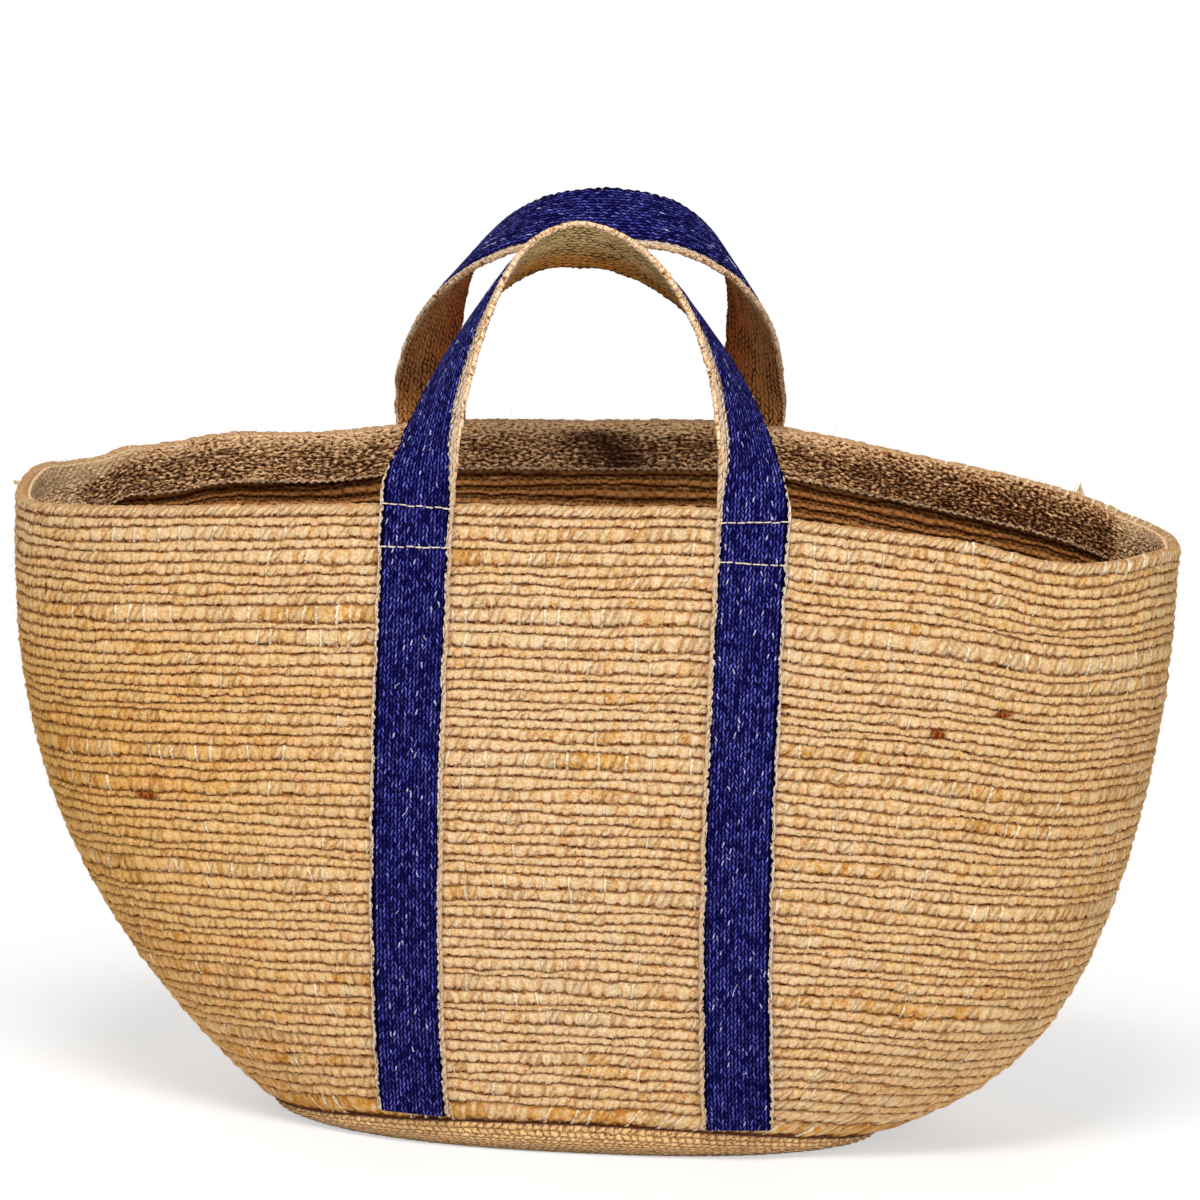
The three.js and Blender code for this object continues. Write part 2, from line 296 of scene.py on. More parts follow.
# Angles round the basket, closer together at the middles and the ends, where a superellipse turns
def ringAngles(count):
    turn = np.linspace(0, 2 * np.pi, count + 1)
    return turn - 0.22 * np.sin(4 * turn)


# Angles at even lengths along a ring, given the height of the ring at each angle
class EvenRing:
    def __init__(self, heightAt, fine=6000):
        self.angles = ringAngles(fine)
        points = plainWall(self.angles, heightAt(self.angles))
        steps = np.linalg.norm(np.diff(points, axis=0), axis=1)
        self.lengths = np.concatenate([[0], np.cumsum(steps)])
        self.total = self.lengths[-1]

    def evenLengths(self, count):
        return np.arange(count) / count * self.total

    def angleAt(self, length):
        turns = np.floor(length / self.total)
        return np.interp(length - turns * self.total, self.lengths, self.angles) + 2 * np.pi * turns


middleRing = EvenRing(lambda angle: 0.5 * (seamHeightAt(angle) + rimHeightAt(angle)))


# Share of the way round, by length at half height
def shareRound(angle):
    turns = np.floor(angle / (2 * np.pi))
    return np.interp(angle - turns * 2 * np.pi, middleRing.angles, middleRing.lengths) / middleRing.total


# Colours and node helpers

# A colour as read off a screen, 0 to 255, as the shader wants it
def screenColour(red, green, blue):
    levels = np.array([red, green, blue]) / 255
    linear = np.where(levels <= 0.04045, levels / 12.92, ((levels + 0.055) / 1.055) ** 2.4)
    return (*[float(level) for level in linear], 1.0)


def addNode(tree, kind, settings, inputs):
    made = tree.nodes.new(kind)
    for label, value in settings.items():
        setattr(made, label, value)
    for key, value in inputs.items():
        if isinstance(value, Wire):
            tree.links.new(value.socket, made.inputs[key])
        else:
            made.inputs[key].default_value = value
    return made


def treeOf(values):
    return next(value.tree for value in values if isinstance(value, Wire))


def wireFrom(kind, settings, inputs, output=0):
    tree = treeOf(inputs.values())
    return Wire(tree, addNode(tree, kind, settings, inputs).outputs[output])


def mathNode(operation, first, second=0.0):
    return wireFrom("ShaderNodeMath", {"operation": operation}, {0: first, 1: second})


# A node's output. Arithmetic on it adds the nodes that work the result out.
class Wire:
    def __init__(self, tree, socket):
        self.tree, self.socket = tree, socket

    def __add__(self, other):
        return mathNode("ADD", self, other)

    def __sub__(self, other):
        return mathNode("SUBTRACT", self, other)

    def __rsub__(self, other):
        return mathNode("SUBTRACT", other, self)

    def __mul__(self, other):
        return mathNode("MULTIPLY", self, other)

    def __truediv__(self, other):
        return mathNode("DIVIDE", self, other)

    def __pow__(self, power):
        return mathNode("POWER", self, power)

    def __gt__(self, limit):
        return mathNode("GREATER_THAN", self, limit)

    def __lt__(self, limit):
        return mathNode("LESS_THAN", self, limit)

    def __abs__(self):
        return mathNode("ABSOLUTE", self)

    __radd__ = __add__
    __rmul__ = __mul__

    def floor(self):
        return mathNode("FLOOR", self)

    def fraction(self):
        return mathNode("FRACT", self)

    def clamped(self):
        return wireFrom("ShaderNodeClamp", {}, {"Value": self})

    # Rises smoothly from 0 to 1 between two levels
    def rise(self, low, high):
        return self.rescale(low, high, 0.0, 1.0, "SMOOTHSTEP")

    def rescale(self, low, high, newLow, newHigh, manner="LINEAR"):
        settings = {"interpolation_type": manner, "clamp": True}
        inputs = {"Value": self, "From Min": low, "From Max": high, "To Min": newLow, "To Max": newHigh}
        return wireFrom("ShaderNodeMapRange", settings, inputs)

    # From one colour at 0 to another at 1; each is a wire, or red, green and blue up to 255
    def blend(self, first, second, manner="MIX"):
        first, second = (end if isinstance(end, Wire) else screenColour(*end) for end in (first, second))
        settings = {"data_type": "RGBA", "blend_type": manner, "clamp_factor": True}
        return wireFrom("ShaderNodeMix", settings, {0: self, 6: first, 7: second}, 2)

    # Soft noise, and a number by chance, at the place that the wire gives
    def noise(self, scale, detail=2.0, roughness=0.5):
        inputs = {"Vector": self, "Scale": scale, "Detail": detail, "Roughness": roughness}
        return wireFrom("ShaderNodeTexNoise", {"noise_dimensions": "3D"}, inputs, "Fac")

    def chance(self):
        return wireFrom("ShaderNodeTexWhiteNoise", {"noise_dimensions": "3D"}, {"Vector": self}, "Value")


def larger(first, second):
    return mathNode("MAXIMUM", first, second)


def combine(x, y, z=0.0):
    return wireFrom("ShaderNodeCombineXYZ", {}, {0: x, 1: y, 2: z})


def separate(vector):
    made = addNode(vector.tree, "ShaderNodeSeparateXYZ", {}, {0: vector})
    return [Wire(vector.tree, socket) for socket in made.outputs]


# A node group with named inputs and outputs; its inputs come back as wires by name
def newGroup(name, inputs, outputs):
    group = bpy.data.node_groups.new(name, "ShaderNodeTree")
    for label, value in inputs.items():
        kind = "NodeSocketVector" if value is None else "NodeSocketFloat"
        socket = group.interface.new_socket(name=label, in_out="INPUT", socket_type=kind)
        if value is not None:
            socket.default_value = value
    for label in outputs:
        group.interface.new_socket(name=label, in_out="OUTPUT", socket_type="NodeSocketFloat")
    entry = group.nodes.new("NodeGroupInput")
    return group, {socket.name: Wire(group, socket) for socket in entry.outputs}


def finishGroup(group, results):
    leaving = group.nodes.new("NodeGroupOutput")
    for label, wire in results.items():
        group.links.new(wire.socket, leaving.inputs[label])
    return group


def useGroup(group, inputs):
    tree = treeOf(inputs.values())
    made = addNode(tree, "ShaderNodeGroup", {"node_tree": group}, inputs)
    return {socket.name: Wire(tree, socket) for socket in made.outputs}


# Fine fibres: a noise drawn out along the first axis of the vector, and one that is even all round
def makeFibreGroup():
    inputs = {"Vector": None, "Length": 6.0, "Spacing": 1.0}
    group, given = newGroup("fibreGrain", inputs, ["Grain", "Fuzz"])
    x, y, z = separate(given["Vector"])
    grain = combine(x / given["Length"], y / given["Spacing"], z / given["Spacing"]).noise(1.0, 4.0, 0.62)
    fuzz = combine(x, y, z).noise(1.4, 5.0, 0.7)
    return finishGroup(group, {"Grain": grain, "Fuzz": fuzz})


# Woven dashes: columns of slanted strokes that lean one way and then the other.
# Across counts columns and Along counts rows; each stroke is a ridge in its own cell.
def makeDashGroup():
    inputs = {"Across": 0.0, "Along": 0.0, "Lean": 0.5, "Width": 0.3}
    group, given = newGroup("wovenDashes", inputs, ["Height", "Stroke", "Cell"])
    column = given["Across"].floor()
    inColumn = given["Across"].fraction() - 0.5
    parity = (column * 0.5).fraction() * 2.0
    side = parity * 2.0 - 1.0
    jitter = combine(column, 3.7, 1.1).chance() * 0.35
    phase = given["Along"] + jitter + (inColumn * given["Lean"] * side + parity * 0.5)
    row = phase.floor()
    inRow = phase.fraction() - 0.5
    cell = combine(column, row, 0.5).chance()
    distance = abs(inColumn + inRow * side * (given["Lean"] * 0.7))
    stroke = (1.0 - distance.rise(0.08, given["Width"])) * (1.0 - abs(inRow).rise(0.26, 0.46))
    height = (1.0 - (abs(inColumn) * 2.0) ** 2.5) * (1.0 - (abs(inRow) * 2.0) ** 3.0)
    return finishGroup(group, {"Height": height, "Stroke": stroke, "Cell": cell})


fibreGrain = makeFibreGroup()
wovenDashes = makeDashGroup()


# Fibres at a place in millimetres, so long and so far apart
def fibresAt(place, length, spacing):
    return useGroup(fibreGrain, {"Vector": place, "Length": length, "Spacing": spacing})


# Woven cells of a weave's own size in millimetres, shaken by a noise so that they aren't regular
def weaveAt(across, along, shaken, weave):
    column = shaken * weave["shakenAcross"] + across / weave["cellWide"]
    row = shaken * weave["shakenAlong"] + along / weave["cellLong"]
    inputs = {"Across": column, "Along": row, "Lean": weave["lean"], "Width": weave["strokeWidth"]}
    return useGroup(wovenDashes, inputs)


# Constants are set on the shader's own sockets
def newMaterial(name, roughness, sheen=0.0, gloss=0.08):
    material = bpy.data.materials.new(name)
    material.use_nodes = True
    shader = material.node_tree.nodes["Principled BSDF"]
    constants = {
        "Roughness": roughness,
        "Specular IOR Level": gloss,
        "Sheen Weight": sheen,
        "Sheen Roughness": 0.6,
    }
    for label, value in constants.items():
        shader.inputs[label].default_value = value
    return material, material.node_tree


# Puts a colour on a material's shader, and a relief of so many millimetres where there is one
def dress(material, colour, height=None, relief=0.0):
    tree = material.node_tree
    shader = tree.nodes["Principled BSDF"]
    tree.links.new(colour.socket, shader.inputs["Base Color"])
    if height is not None:
        inputs = {"Height": height, "Distance": relief * millimetre, "Strength": 1.0}
        tree.links.new(addNode(tree, "ShaderNodeBump", {}, inputs).outputs[0], shader.inputs["Normal"])
    return material


def objectPlace(tree):
    return Wire(tree, tree.nodes.new("ShaderNodeTexCoord").outputs["Object"])


def placeInMillimetres(tree):
    inputs = {0: objectPlace(tree), "Scale": 1 / millimetre}
    return wireFrom("ShaderNodeVectorMath", {"operation": "SCALE"}, inputs)


# The two coordinates of a piece's own map, in millimetres along and across its threads
def threadPlace(tree):
    made = addNode(tree, "ShaderNodeUVMap", {"uv_map": "threadMap"}, {})
    return separate(Wire(tree, made.outputs[0]))[:2]


def storedValue(tree, label):
    return Wire(tree, addNode(tree, "ShaderNodeAttribute", {"attribute_name": label}, {}).outputs["Fac"])


# Puts a piece on the basket's body, in the place of a solid if one is named
def placeOnBasket(piece, replaced=None):
    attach(piece, "basket")
    if replaced:
        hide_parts(replaced)


# Rope rows

rope = {
    "rows": 55,
    "sides": 8,
    "squareness": 0.88,
    "knobOut": 0.2,
    "knobUp": 0.14,
    "thicknessSpread": 0.1,
    "thickRowShare": 0.24,
    "thickRowGain": 1.34,
    "firstRowGain": 1.6,
    "lumpShare": 0.82,
    "lumpJitter": 0.2,
    "stitchRings": (0.0, 0.16, 0.5, 0.84),
    "pinch": 0.07,
    "pinchReach": 0.3,
    "scallop": -0.03,
    "lumpSwell": (0.9, 1.06),
    "offsetDown": 0.2,
    "offsetOut": 0.2,
    "proud": 2.75,
    "slantedShare": 0.32,
    "slantedLean": (0.5, 1.0),
    "uprightLean": (-0.15, 0.25),
    "slantReach": 1.6,
    "overlap": 1.2,
    "longWander": 0.1,
    "midWander": 0.2,
    "shortWander": 0.1,
    "rowsPerPiece": 6,
    "seed": 11,
}

# Tone and golden share of each lump of yarn: base values, and how much they drift and scatter
yarn = {
    "tone": 0.6,
    "toneDrift": 0.1,
    "toneStreak": 0.1,
    "toneScatter": 0.12,
    "goldenFrom": 0.15,
    "goldenTo": 0.75,
    "goldenThin": 0.2,
    "goldenThick": 0.6,
    "firstRowGolden": 0.3,
    "loneGoldenShare": 0.02,
    "loneGolden": (0.2, 0.7),
    "rowsPerRegion": 3,
}

ropeColours = {
    "pale": (250, 220, 176),
    "straw": (240, 188, 126),
    "tan": (196, 140, 80),
    "pink": (246, 200, 160),
    "golden": (244, 220, 164),
    "orange": (228, 192, 136),
    "rust": (128, 50, 16),
    # Painted shade from here to the line colour: the inward side of the rows, the crevices there, the
    # dashes under the lumps, the grooves (whose brown also draws the strand lines) and the lines between
    # rows
    "inside": (228, 182, 142),
    "paintedCreviceShade": (20, 3, 0),
    "gap": (88, 34, 2),
    "groove": (188, 126, 66),
    "line": (142, 68, 14),
    "thread": (255, 244, 214),
    "greenish": (230, 200, 124),
    # Painted shade at the wall's left and right sides, and painted light on the inward side of the rim row
    "paintedLeftShade": (250, 226, 166),
    "paintedRightShade": (252, 246, 230),
    "paintedRimLight": (238, 206, 164),
}

# How the yarn's surface is drawn: sizes in millimetres, noise scales, shares of a colour, heights of relief
ropeSurface = {
    "halfHeight": 2.8,
    "fibreLength": 2.2,
    "fibreSpacing": 1.0,
    "blobScale": 0.75,
    "spotScale": 0.4,
    "knotScale": 0.9,
    "shiftScale": 900.0,
    "patchScale": 260.0,
    "blobMottle": 2.2,
    "grainMottle": 1.1,
    "fuzzMottle": 0.9,
    "edgeShade": 0.42,
    "spotShare": 0.5,
    "paintedRimLightShare": 0.8,
    "paintedCreviceShadeShare": 0.94,
    "edgeGroove": 0.6,
    "strandShare": 0.7,
    "paintedFirstRowShadowShare": 0.9,
    "sewnFrom": 0.55,
    "threadShare": 0.75,
    "blobRelief": 2.4,
    "lumpRelief": 0.2,
    "strandRelief": 0.4,
    "dashRelief": 0.5,
    "threadRelief": 0.3,
    "relief": 1.1,
}

# Dark specks in the yarn on the front, and a slit at the left end: X, height, half length, half height
slubs = [
    (-270, 267, 1.0, 5.0), (203, 235, 6, 2.4), (171, 225, 5, 3.2), (-215, 170, 7, 2.4), (96, 238, 4, 2.0),
]


# A lump's tone goes from tan over straw to pale by noise and by painted shade, lightest at its middle and
# top where it stands out;
# it darkens by painted shade to a groove at its stitches and between rows, with slanted strand lines,
# painted shadow dashes under it and white stitches
def makeRopeMaterial():
    material, tree = newMaterial("juteRope", 0.95, gloss=0.03)
    look = ropeSurface
    alongRow, row = threadPlace(tree)
    size = storedValue(tree, "lumpSize")
    x, _, z = separate(objectPlace(tree))
    rowNumber = row.floor()
    around = row.fraction().rescale(0.02, 0.98, 0.0, 2 * math.pi)
    lift, outward = mathNode("SINE", around), mathNode("COSINE", around)
    wavy = alongRow + (objectPlace(tree).noise(look["shiftScale"], 2.0, 0.6) * 0.5 - 0.25)
    inLump = wavy.fraction()
    onRim = rowNumber > rope["rows"] - 0.5
    inward = (onRim * 3.0 + outward).rise(0.25, -0.35)
    edge = (0.5 - abs(inLump - 0.5)) * size
    thick = size.rise(4.8, 6.2)
    lumpChance = combine(wavy.floor(), rowNumber, 7.0).chance()
    dashChance = combine(wavy.floor(), rowNumber, 3.0).chance()
    stitchChance = combine(mathNode("ROUND", wavy), rowNumber, 2.0).chance()

    along, across = inLump * size, lift * look["halfHeight"]
    twisted = across - along * lumpChance.rescale(0.0, 1.0, 0.1, 1.3)
    fibrePlace = combine(along + across, twisted, lumpChance * 90.0)
    fibres = fibresAt(fibrePlace, look["fibreLength"], look["fibreSpacing"])
    blobs = combine(along, across, lumpChance * 70.0).noise(look["blobScale"], 1.0)
    roughEdge = fibres["Fuzz"] * 0.5 - 0.25
    sideways = inLump * 2.0 - 1.0
    bow = sideways * sideways
    besideBead = (roughEdge * 0.8 + abs(sideways)).rise(0.5, 1.05)
    roundBead = (roughEdge * 0.8 + abs(lift)).rise(0.45, 0.95)
    beadEdge = larger(besideBead * 0.9, roundBead)

    # Tone of each lump: mottled by blobs and fibres, with painted shade that darkens its edges and a
    # painted highlight towards its top, and pinkish and greenish spots
    fineMottle = fibres["Grain"] * look["grainMottle"] + fibres["Fuzz"] * look["fuzzMottle"]
    mottle = blobs * look["blobMottle"] + fineMottle - 2.05
    # crown: painted shade towards each bead's edges and a painted highlight towards the row's top
    crown = beadEdge * -look["edgeShade"] + (lift * 0.1 + 0.26)
    tone = (storedValue(tree, "tone") + crown + mottle).clamped()
    colour = tone.rise(0.0, 0.5).blend(ropeColours["tan"], ropeColours["straw"])
    colour = tone.rise(0.4, 1.0).blend(colour, ropeColours["pale"])
    spots = combine(along, across, dashChance * 50.0).noise(look["spotScale"], 1.0)
    colour = (spots.rise(0.52, 0.7) * look["spotShare"]).blend(colour, ropeColours["pink"])
    colour = (spots.rise(0.46, 0.3) * look["spotShare"]).blend(colour, ropeColours["greenish"])
    patches = objectPlace(tree).noise(look["patchScale"], 2.0, 0.6).rescale(0.34, 0.66, 0.25, 1.35)
    golden = (storedValue(tree, "golden") * patches - mottle * 0.3).clamped()
    colour = golden.rise(0.1, 0.9).blend(colour, ropeColours["golden"], "MULTIPLY")
    colour = golden.rise(0.75, 1.2).blend(colour, ropeColours["orange"], "MULTIPLY")
    rusty = storedValue(tree, "rust") + (fibres["Grain"] * 0.5 - 0.25)
    colour = rusty.rise(0.3, 0.7).blend(colour, ropeColours["rust"])
    # Painted shade: the wall's left side darker and yellower, its right side a little warmer
    paintedLeftShade = x.rescale(-0.05, -0.285, 0.0, 1.0) * z.rescale(0.3, 0.2, 0.2, 1.0)
    colour = paintedLeftShade.blend(colour, ropeColours["paintedLeftShade"], "MULTIPLY")
    colour = x.rescale(0.1, 0.29, 0.0, 1.0).blend(colour, ropeColours["paintedRightShade"], "MULTIPLY")
    # Painted shade on the inward side of the rows
    colour = inward.blend(colour, ropeColours["inside"], "MULTIPLY")
    # Painted light on the inward side of the rim row
    paintedRimLight = onRim * outward.rise(0.3, -0.2)
    colour = (paintedRimLight * look["paintedRimLightShare"]).blend(colour, ropeColours["paintedRimLight"])
    # Painted shade, nearly black, in the crevices between the rows and beads on the inward side
    paintedCreviceShade = larger((roughEdge * 1.2 + abs(lift)).rise(0.12, 0.52), besideBead * 0.85) * inward
    colour = (paintedCreviceShade * look["paintedCreviceShadeShare"]).blend(colour, ropeColours["paintedCreviceShade"])

    # Slanted strand lines that cross some lumps
    lineLean = mix(stitchChance.rescale(0.0, 1.0, -0.15, -0.75), -0.42, onRim)
    strand = (along * 0.26 + (roughEdge * 0.9 + lift * lineLean + lumpChance)).fraction()
    strandEdge = 0.5 - abs(strand - 0.5)
    hasStrand = (onRim + (thick * 0.4 + lumpChance)).rise(0.76, 0.96)
    strandLine = (1.0 - strandEdge.rise(0.0, 0.3)) * hasStrand

    # Painted shade in the grooves at the stitches and at the beads' edges, and under each lump a painted
    # shadow: a dark line and a dash that curve up at their ends
    groove = 1.0 - (roughEdge * 3.0 + edge).rise(-0.1, 1.1)
    grooveShade = groove * (thick * 0.3 + stitchChance.rescale(0.0, 1.0, 0.0, 0.22))
    grooveShade = larger(grooveShade, beadEdge * look["edgeGroove"])
    colour = larger(grooveShade, strandLine * look["strandShare"]).blend(colour, ropeColours["groove"])
    # Painted shadow under each lump: a dark line, and a dash in the gap colour
    knots = combine(along, rowNumber, lumpChance * 60.0).noise(look["knotScale"], 2.0, 0.6)
    rowLine = 1.0 - abs(bow * -0.45 + 0.88 + (roughEdge * 1.6 + lift)).rise(0.08, 0.3)
    lineShare = (abs(sideways).rise(0.15, 0.85) * 0.6 + 0.4) * knots.rescale(0.38, 0.6, 0.4, 1.1)
    colour = (rowLine * lineShare).blend(colour, ropeColours["line"])
    level = bow * -0.34 + 0.76 + (roughEdge * 1.7 + lift)
    reach = dashChance.rescale(0.0, 0.8, 0.4, 1.3) / size * (1.0 - bow * 1.25)
    dash = 1.0 - (abs(level) - reach).rise(-0.12, 0.1)
    dashShade = dash * (dashChance.rescale(0.0, 0.9, 0.5, 1.1) * knots.rise(0.38, 0.54))
    colour = dashShade.blend(colour, ropeColours["gap"])
    # Painted shadow under the first row, where it sits on the base
    paintedFirstRowShadow = (roughEdge - lift).rise(0.5, 0.85) * (rowNumber < 0.5)
    colour = (paintedFirstRowShadow * look["paintedFirstRowShadowShare"]).blend(colour, ropeColours["gap"])

    # White stitches that show across thick lumps, and across the rim's right half
    sewn = larger(size.rise(5.5, 6.4), onRim * (x > 0.15))
    threadLine = 1.0 - (roughEdge * 1.4 + edge).rise(0.25, 0.8)
    thread = threadLine * ((stitchChance > look["sewnFrom"]) * sewn) * (1.0 - inward)
    colour = (thread * look["threadShare"]).blend(colour, ropeColours["thread"])

    # Relief of the yarn, which evens out to its mean where lumps meet
    meanHeight = 2.2
    height = fibres["Grain"] + (fibres["Fuzz"] + blobs * look["blobRelief"])
    height = (height - meanHeight) * edge.rise(0.0, 0.7) + meanHeight
    height = (edge / size).rise(0.0, 0.4) * look["lumpRelief"] + height - strandLine * look["strandRelief"]
    height = height - dash * look["dashRelief"] + thread * look["threadRelief"]
    return dress(material, colour, height, look["relief"])


ropeMaterial = makeRopeMaterial()


# Where the lumps of a row start: as many as its thickness asks for, a little uneven
def lumpStarts(rng, ring, thicknessAt, choice):
    fine = np.linspace(0, ring.total, 4001)
    density = 1 / (choice["lumpShare"] * thicknessAt(ring.angleAt(fine * 0.99999)))
    counted = np.concatenate([[0], np.cumsum(0.5 * (density[1:] + density[:-1]) * np.diff(fine))])
    lumps = int(round(counted[-1]))
    wanted = np.arange(lumps) + rng.uniform(-1, 1, lumps) * choice["lumpJitter"]
    wanted[0] = 0
    return np.interp(wanted * counted[-1] / lumps, counted, fine)


# One closed rope row between a lower and an upper height: a squarish round section carried round
# the wall, swelling in each lump and pinched at each stitch, whose rings may lean with the twist.
def ropeRow(rng, number, lowerAt, upperAt, choice, yarnAt):
    ring = EvenRing(lambda angle: 0.5 * (lowerAt(angle) + upperAt(angle)))
    starts = lumpStarts(rng, ring, lambda angle: upperAt(angle) - lowerAt(angle), choice)
    lengths = np.diff(np.append(starts, ring.total))
    lumps = len(lengths)
    leaning = rng.random(lumps) < choice["slantedShare"]
    slanted, upright = (rng.uniform(*choice[lean], lumps) for lean in ("slantedLean", "uprightLean"))
    slants = np.where(leaning, slanted, upright)
    swells = rng.uniform(*choice["lumpSwell"], lumps)
    down = rng.normal(0, choice["offsetDown"], lumps)
    out = rng.normal(0, choice["offsetOut"], lumps)

    shares = np.array(choice["stitchRings"])
    steps = len(shares)
    following = (np.arange(lumps) + 1) % lumps
    lengthAlong = (starts[:, None] + lengths[:, None] * shares).ravel()
    slant = mix(slants[:, None], slants[following][:, None], shares).ravel()
    closeness = np.cos(np.pi * np.clip(np.minimum(shares, 1 - shares) / choice["pinchReach"], 0, 0.5)) ** 2
    belly = 1 - closeness
    swell = (swells[:, None] * (1 - choice["pinch"] * closeness)).ravel()
    tall = (np.sqrt(swells)[:, None] * (1 - choice["scallop"] * closeness)).ravel()
    sink = (down[:, None] * belly).ravel()
    push = (out[:, None] * belly).ravel()

    turn = 2 * np.pi * np.arange(choice["sides"]) / choice["sides"]
    outward = signedPower(np.cos(turn), choice["squareness"])
    lift = signedPower(np.sin(turn), choice["squareness"])
    along = lengthAlong[:, None] + slant[:, None] * choice["slantReach"] * lift
    angle = ring.angleAt(along)
    lower, upper = lowerAt(angle), upperAt(angle)
    middle = 0.5 * (lower + upper)
    z = middle + 0.5 * (upper - lower) * choice["overlap"] * lift * tall[:, None] - sink[:, None]
    depth = basket["wallThickness"] / 2 - choice["proud"] * outward * swell[:, None]
    depth = depth - push[:, None] * (outward > 0)
    depth = depth - rng.normal(0, choice["knobOut"], depth.shape) * (outward > -0.3)
    z = z + rng.normal(0, choice["knobUp"], z.shape)
    points = insideWall(angle, z, depth, middle)

    faces, places = gridFaces(lumps * steps, choice["sides"], closeRows=True, closeColumns=True)
    counted = np.concatenate([(np.arange(lumps)[:, None] + shares).ravel(), [lumps]])
    u = counted[places[..., 0]]
    v = number + 0.02 + 0.96 * places[..., 1] / choice["sides"]
    tone, golden = yarnAt(rng, ring, starts, lengths)
    rust = np.zeros(points.shape[:2])
    for x, height, halfLength, halfHeight in slubs:
        near = ((points[..., 0] - x) / halfLength) ** 2 + ((points[..., 2] - height) / halfHeight) ** 2
        rust = np.maximum(rust, np.where(points[..., 1] < 0, np.exp(-near), 0))

    perLump = {"tone": tone, "golden": golden, "lumpSize": lengths}
    values = {label: np.repeat(numbers, steps * choice["sides"]) for label, numbers in perLump.items()}
    values["rust"] = rust.ravel()
    return points.reshape(-1, 3), faces, np.stack([u, v], -1), values


# Several rows as one piece
def joinRows(name, rows, material):
    counts = [len(points) for points, *_ in rows]
    shifts = np.concatenate([[0], np.cumsum(counts)[:-1]])
    points = np.concatenate([row[0] for row in rows])
    faces = np.concatenate([row[1] + shift for row, shift in zip(rows, shifts)])
    uv = np.concatenate([row[2] for row in rows])
    values = {label: np.concatenate([row[3][label] for row in rows]) for label in rows[0][3]}
    return makePiece(name, points, [(faces, uv)], material, values)


# Rows between edges that divide the wall's height by chance and wander a little along their way
def makeRopeWall():
    rng = np.random.default_rng(rope["seed"])
    count, region = rope["rows"], yarn["rowsPerRegion"]
    waves = [(rng.uniform(-1, 1, (count + 1, size)), rope[amount]) for size, amount in
             ((9, "longWander"), (36, "midWander"), (150, "shortWander"))]
    weights = np.exp(rng.normal(0, rope["thicknessSpread"], count))
    weights *= np.where(rng.random(count) < rope["thickRowShare"], rope["thickRowGain"], 1)
    weights[0] = rope["firstRowGain"]
    edges = np.concatenate([[0], np.cumsum(weights)]) / weights.sum()
    regional = rng.uniform(-1, 1, (count // region + 2, 14))
    streaks = rng.uniform(-1, 1, (count, 24))
    goldenStreaks = rng.uniform(-1, 1, (count, 20))

    def edgeAt(number):
        def heightAt(angle):
            share = shareRound(angle)
            wander = 0.0
            if 0 < number < count:
                wander = sum(amount * ringNoise(values[number], share) for values, amount in waves)
            place = edges[number] + wander / count
            wave = rimWaveAt(angle)
            plainTop = rimHeightAt(angle) - wave - basket["rimRopeHeight"]
            return mix(seamHeightAt(angle), plainTop, place) + wave * place ** 2
        return heightAt

    def yarnFor(number):
        isFirst = number == 0

        def yarnAt(rng, ring, starts, lengths):
            share, lumps = starts / ring.total, len(starts)
            below, above = (ringNoise(regional[number // region + k], share) for k in (0, 1))
            tone = yarn["tone"] + yarn["toneDrift"] * mix(below, above, number % region / region)
            tone = tone + yarn["toneStreak"] * ringNoise(streaks[number], share)
            tone = tone + rng.normal(0, yarn["toneScatter"], lumps)
            stretch = ringNoise(goldenStreaks[number], share) + 1.1 * isFirst
            stretch = smoothStep(stretch, yarn["goldenFrom"], yarn["goldenTo"])
            golden = stretch * (yarn["goldenThin"] + yarn["goldenThick"] * smoothStep(lengths, 4.6, 6.2))
            golden = golden * rng.uniform(0.75, 1.1, lumps) + yarn["firstRowGolden"] * isFirst
            isLone = rng.random(lumps) < yarn["loneGoldenShare"]
            lone = np.where(isLone, rng.uniform(*yarn["loneGolden"], lumps), 0)
            return clamp01(tone), clamp01(np.maximum(golden, lone))
        return yarnAt

    rows = [ropeRow(rng, k, edgeAt(k), edgeAt(k + 1), rope, yarnFor(k)) for k in range(count)]
    pieces = []
    for first in range(0, count, rope["rowsPerPiece"]):
        name = f"rope_rows_{first // rope['rowsPerPiece'] + 1}"
        pieces.append(joinRows(name, rows[first:first + rope["rowsPerPiece"]], ropeMaterial))
        placeOnBasket(pieces[-1], "rope_wall")
    return pieces


ropePieces = makeRopeWall()
print("rope rows:", rope["rows"], "faces:", [len(piece.data.polygons) for piece in ropePieces])


# Sewing core: the thread and fibre between the rows, a thin closed sheet that shows only in the gaps

core = {
    "outerDepth": 2.1,
    "innerDepth": 4.2,
    "around": 360,
    "up": 36,
    "dark": (120, 66, 24),
    "light": (206, 150, 84),
}


def makeCoreMaterial():
    material, tree = newMaterial("sewingCore", 0.95)
    fibres = fibresAt(placeInMillimetres(tree), 2.0, 1.2)
    colour = fibres["Grain"].rise(0.35, 0.65).blend(core["dark"], core["light"])
    return dress(material, colour, fibres["Fuzz"], 0.6)


